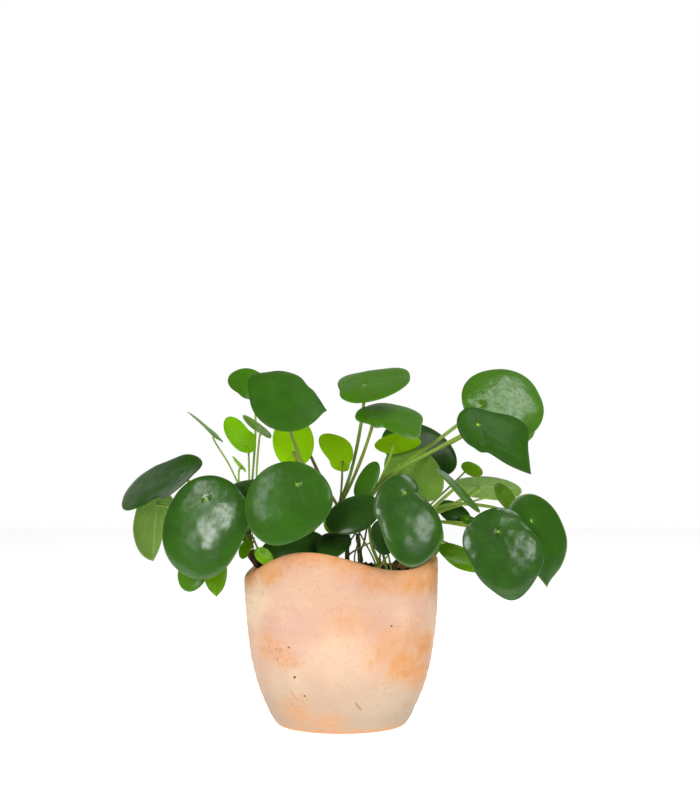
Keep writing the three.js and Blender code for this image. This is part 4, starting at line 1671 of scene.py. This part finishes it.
# How reddish brown a petiole is, and the radius of the slimmer ones, by leaf number
RUDDY = {12: 0.9, 15: 0.9, 17: 0.45, 45: 0.9}
SLIM = {2: 0.8, 6: 0.6, 7: 0.65, 8: 0.6, 10: 0.8, 12: 0.9, 15: 0.75, 18: 0.9, 24: 1.3, 25: 1.3}


@dataclass
class Plant:
    """Everything that grows in the pot."""

    soil: Soil
    blades: dict[int, Blade] = field(init=False)

    def __post_init__(self) -> None:
        """Reads the blades from the frame."""
        slots = {part["node"]: part["material_slot"] for part in frame["record"]["subparts"]}
        names = sorted(name for name in frame["nodes"] if name.startswith("leaf_"))
        self.blades = {}
        for name in names:
            number = int(name.split("_")[1])
            self.blades[number] = Blade(number, frame["nodes"][name], Slot(slots[name]))

    def build(self) -> None:
        """Makes the stems, petioles and blades."""
        finishes = {finish.slot: finish.material() for finish in BLADE_FINISHES}
        for blade in self.blades.values():
            blade.build(finishes)
        stalk, bark = PetioleFinish().material(), WoodFinish().material()
        for crown in CROWNS:
            crown.build_petioles(self.blades, self.soil, stalk)
            if crown.top:
                crown.build_stem(self.soil, bark)


# Studio


@dataclass
class Softbox:
    """A square studio light that looks at the plant."""

    name: str
    place: tuple
    size: float
    power: float
    aim: tuple = (0.0, 0.0, 0.14)

    def build(self) -> None:
        """Hangs the light."""
        data = bpy.data.lights.new(self.name, "AREA")
        data.shape = "SQUARE"
        data.size = self.size
        data.energy = self.power
        light = bpy.data.objects.new(self.name, data)
        light.location = self.place
        light.rotation_euler = (Vector(self.aim) - Vector(self.place)).to_track_quat("-Z", "Y").to_euler()
        bpy.context.scene.collection.objects.link(light)


@dataclass
class Studio:
    """White floor, soft light and the camera."""

    floor_reach: float = 2.0
    floor_front: float = 0.4
    front: float = 0.045
    turns_white: tuple = (0.3, 0.95)
    sensor: float = 36.0
    eye: tuple = (0.0059, -1.3, 0.218)
    focal_pixels: float = 1930.0
    picture_height: float = 800.0
    lights: tuple = (
        Softbox("left", (-0.70, -1.36, 0.66), 0.55, 11.5),
        Softbox("left_top", (-0.85, -0.80, 1.20), 0.45, 3.5),
        Softbox("right", (0.88, -1.22, 0.60), 0.5, 6.0),
        Softbox("right_top", (0.78, -0.32, 1.45), 0.75, 11.0),
    )

    def camera(self) -> None:
        """Sets the camera level, as the photograph's."""
        data = bpy.data.cameras.new("camera")
        data.sensor_width = self.sensor
        data.lens = self.focal_pixels * data.sensor_width / self.picture_height
        camera = bpy.data.objects.new("camera", data)
        camera.location = self.eye
        camera.rotation_euler = (math.pi / 2, 0, 0)
        bpy.context.scene.collection.objects.link(camera)
        bpy.context.scene.camera = camera

    def floor(self) -> None:
        """Lays the floor."""
        reach, front = self.floor_reach, self.floor_front
        corners = np.array([(-reach, -front, 0), (reach, -front, 0),
                            (reach, reach, 0), (-reach, reach, 0)])
        Skin(corners, [(0, 1, 2, 3)]).piece("floor", StageFinish().material())

    def world(self) -> None:
        """Surrounds the stage with white, brighter behind and above than in front."""
        world = bpy.data.worlds.new("studio")
        s = Shader(world)
        low, high = self.turns_white
        ahead = s.axis("Y", s.value("ShaderNodeTexCoord", output="Generated"))
        spread = s.value("ShaderNodeMapRange", {}, {
            "Value": ahead, "From Min": low, "From Max": high, "To Min": self.front, "To Max": 1.0})
        strength = spread.most(s.value("ShaderNodeLightPath", output="Is Camera Ray"))
        white = s.node("ShaderNodeBackground", {}, {"Color": (1, 1, 1, 1), "Strength": strength})
        s.node("ShaderNodeOutputWorld", {}, {"Surface": white.outputs[0]})
        bpy.context.scene.world = world

    def build(self) -> None:
        """Sets the whole stage."""
        self.camera()
        self.floor()
        self.world()
        for light in self.lights:
            light.build()
        bpy.context.scene.view_settings.view_transform = "Standard"


def main() -> None:
    """Builds the stage, the pot and the plant."""
    logging.basicConfig(level=logging.INFO, format="%(message)s")
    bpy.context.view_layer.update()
    Studio().build()
    soil = Soil()
    Pot().build()
    soil.build()
    Plant(soil).build()


if __name__ == "__main__":
    main()
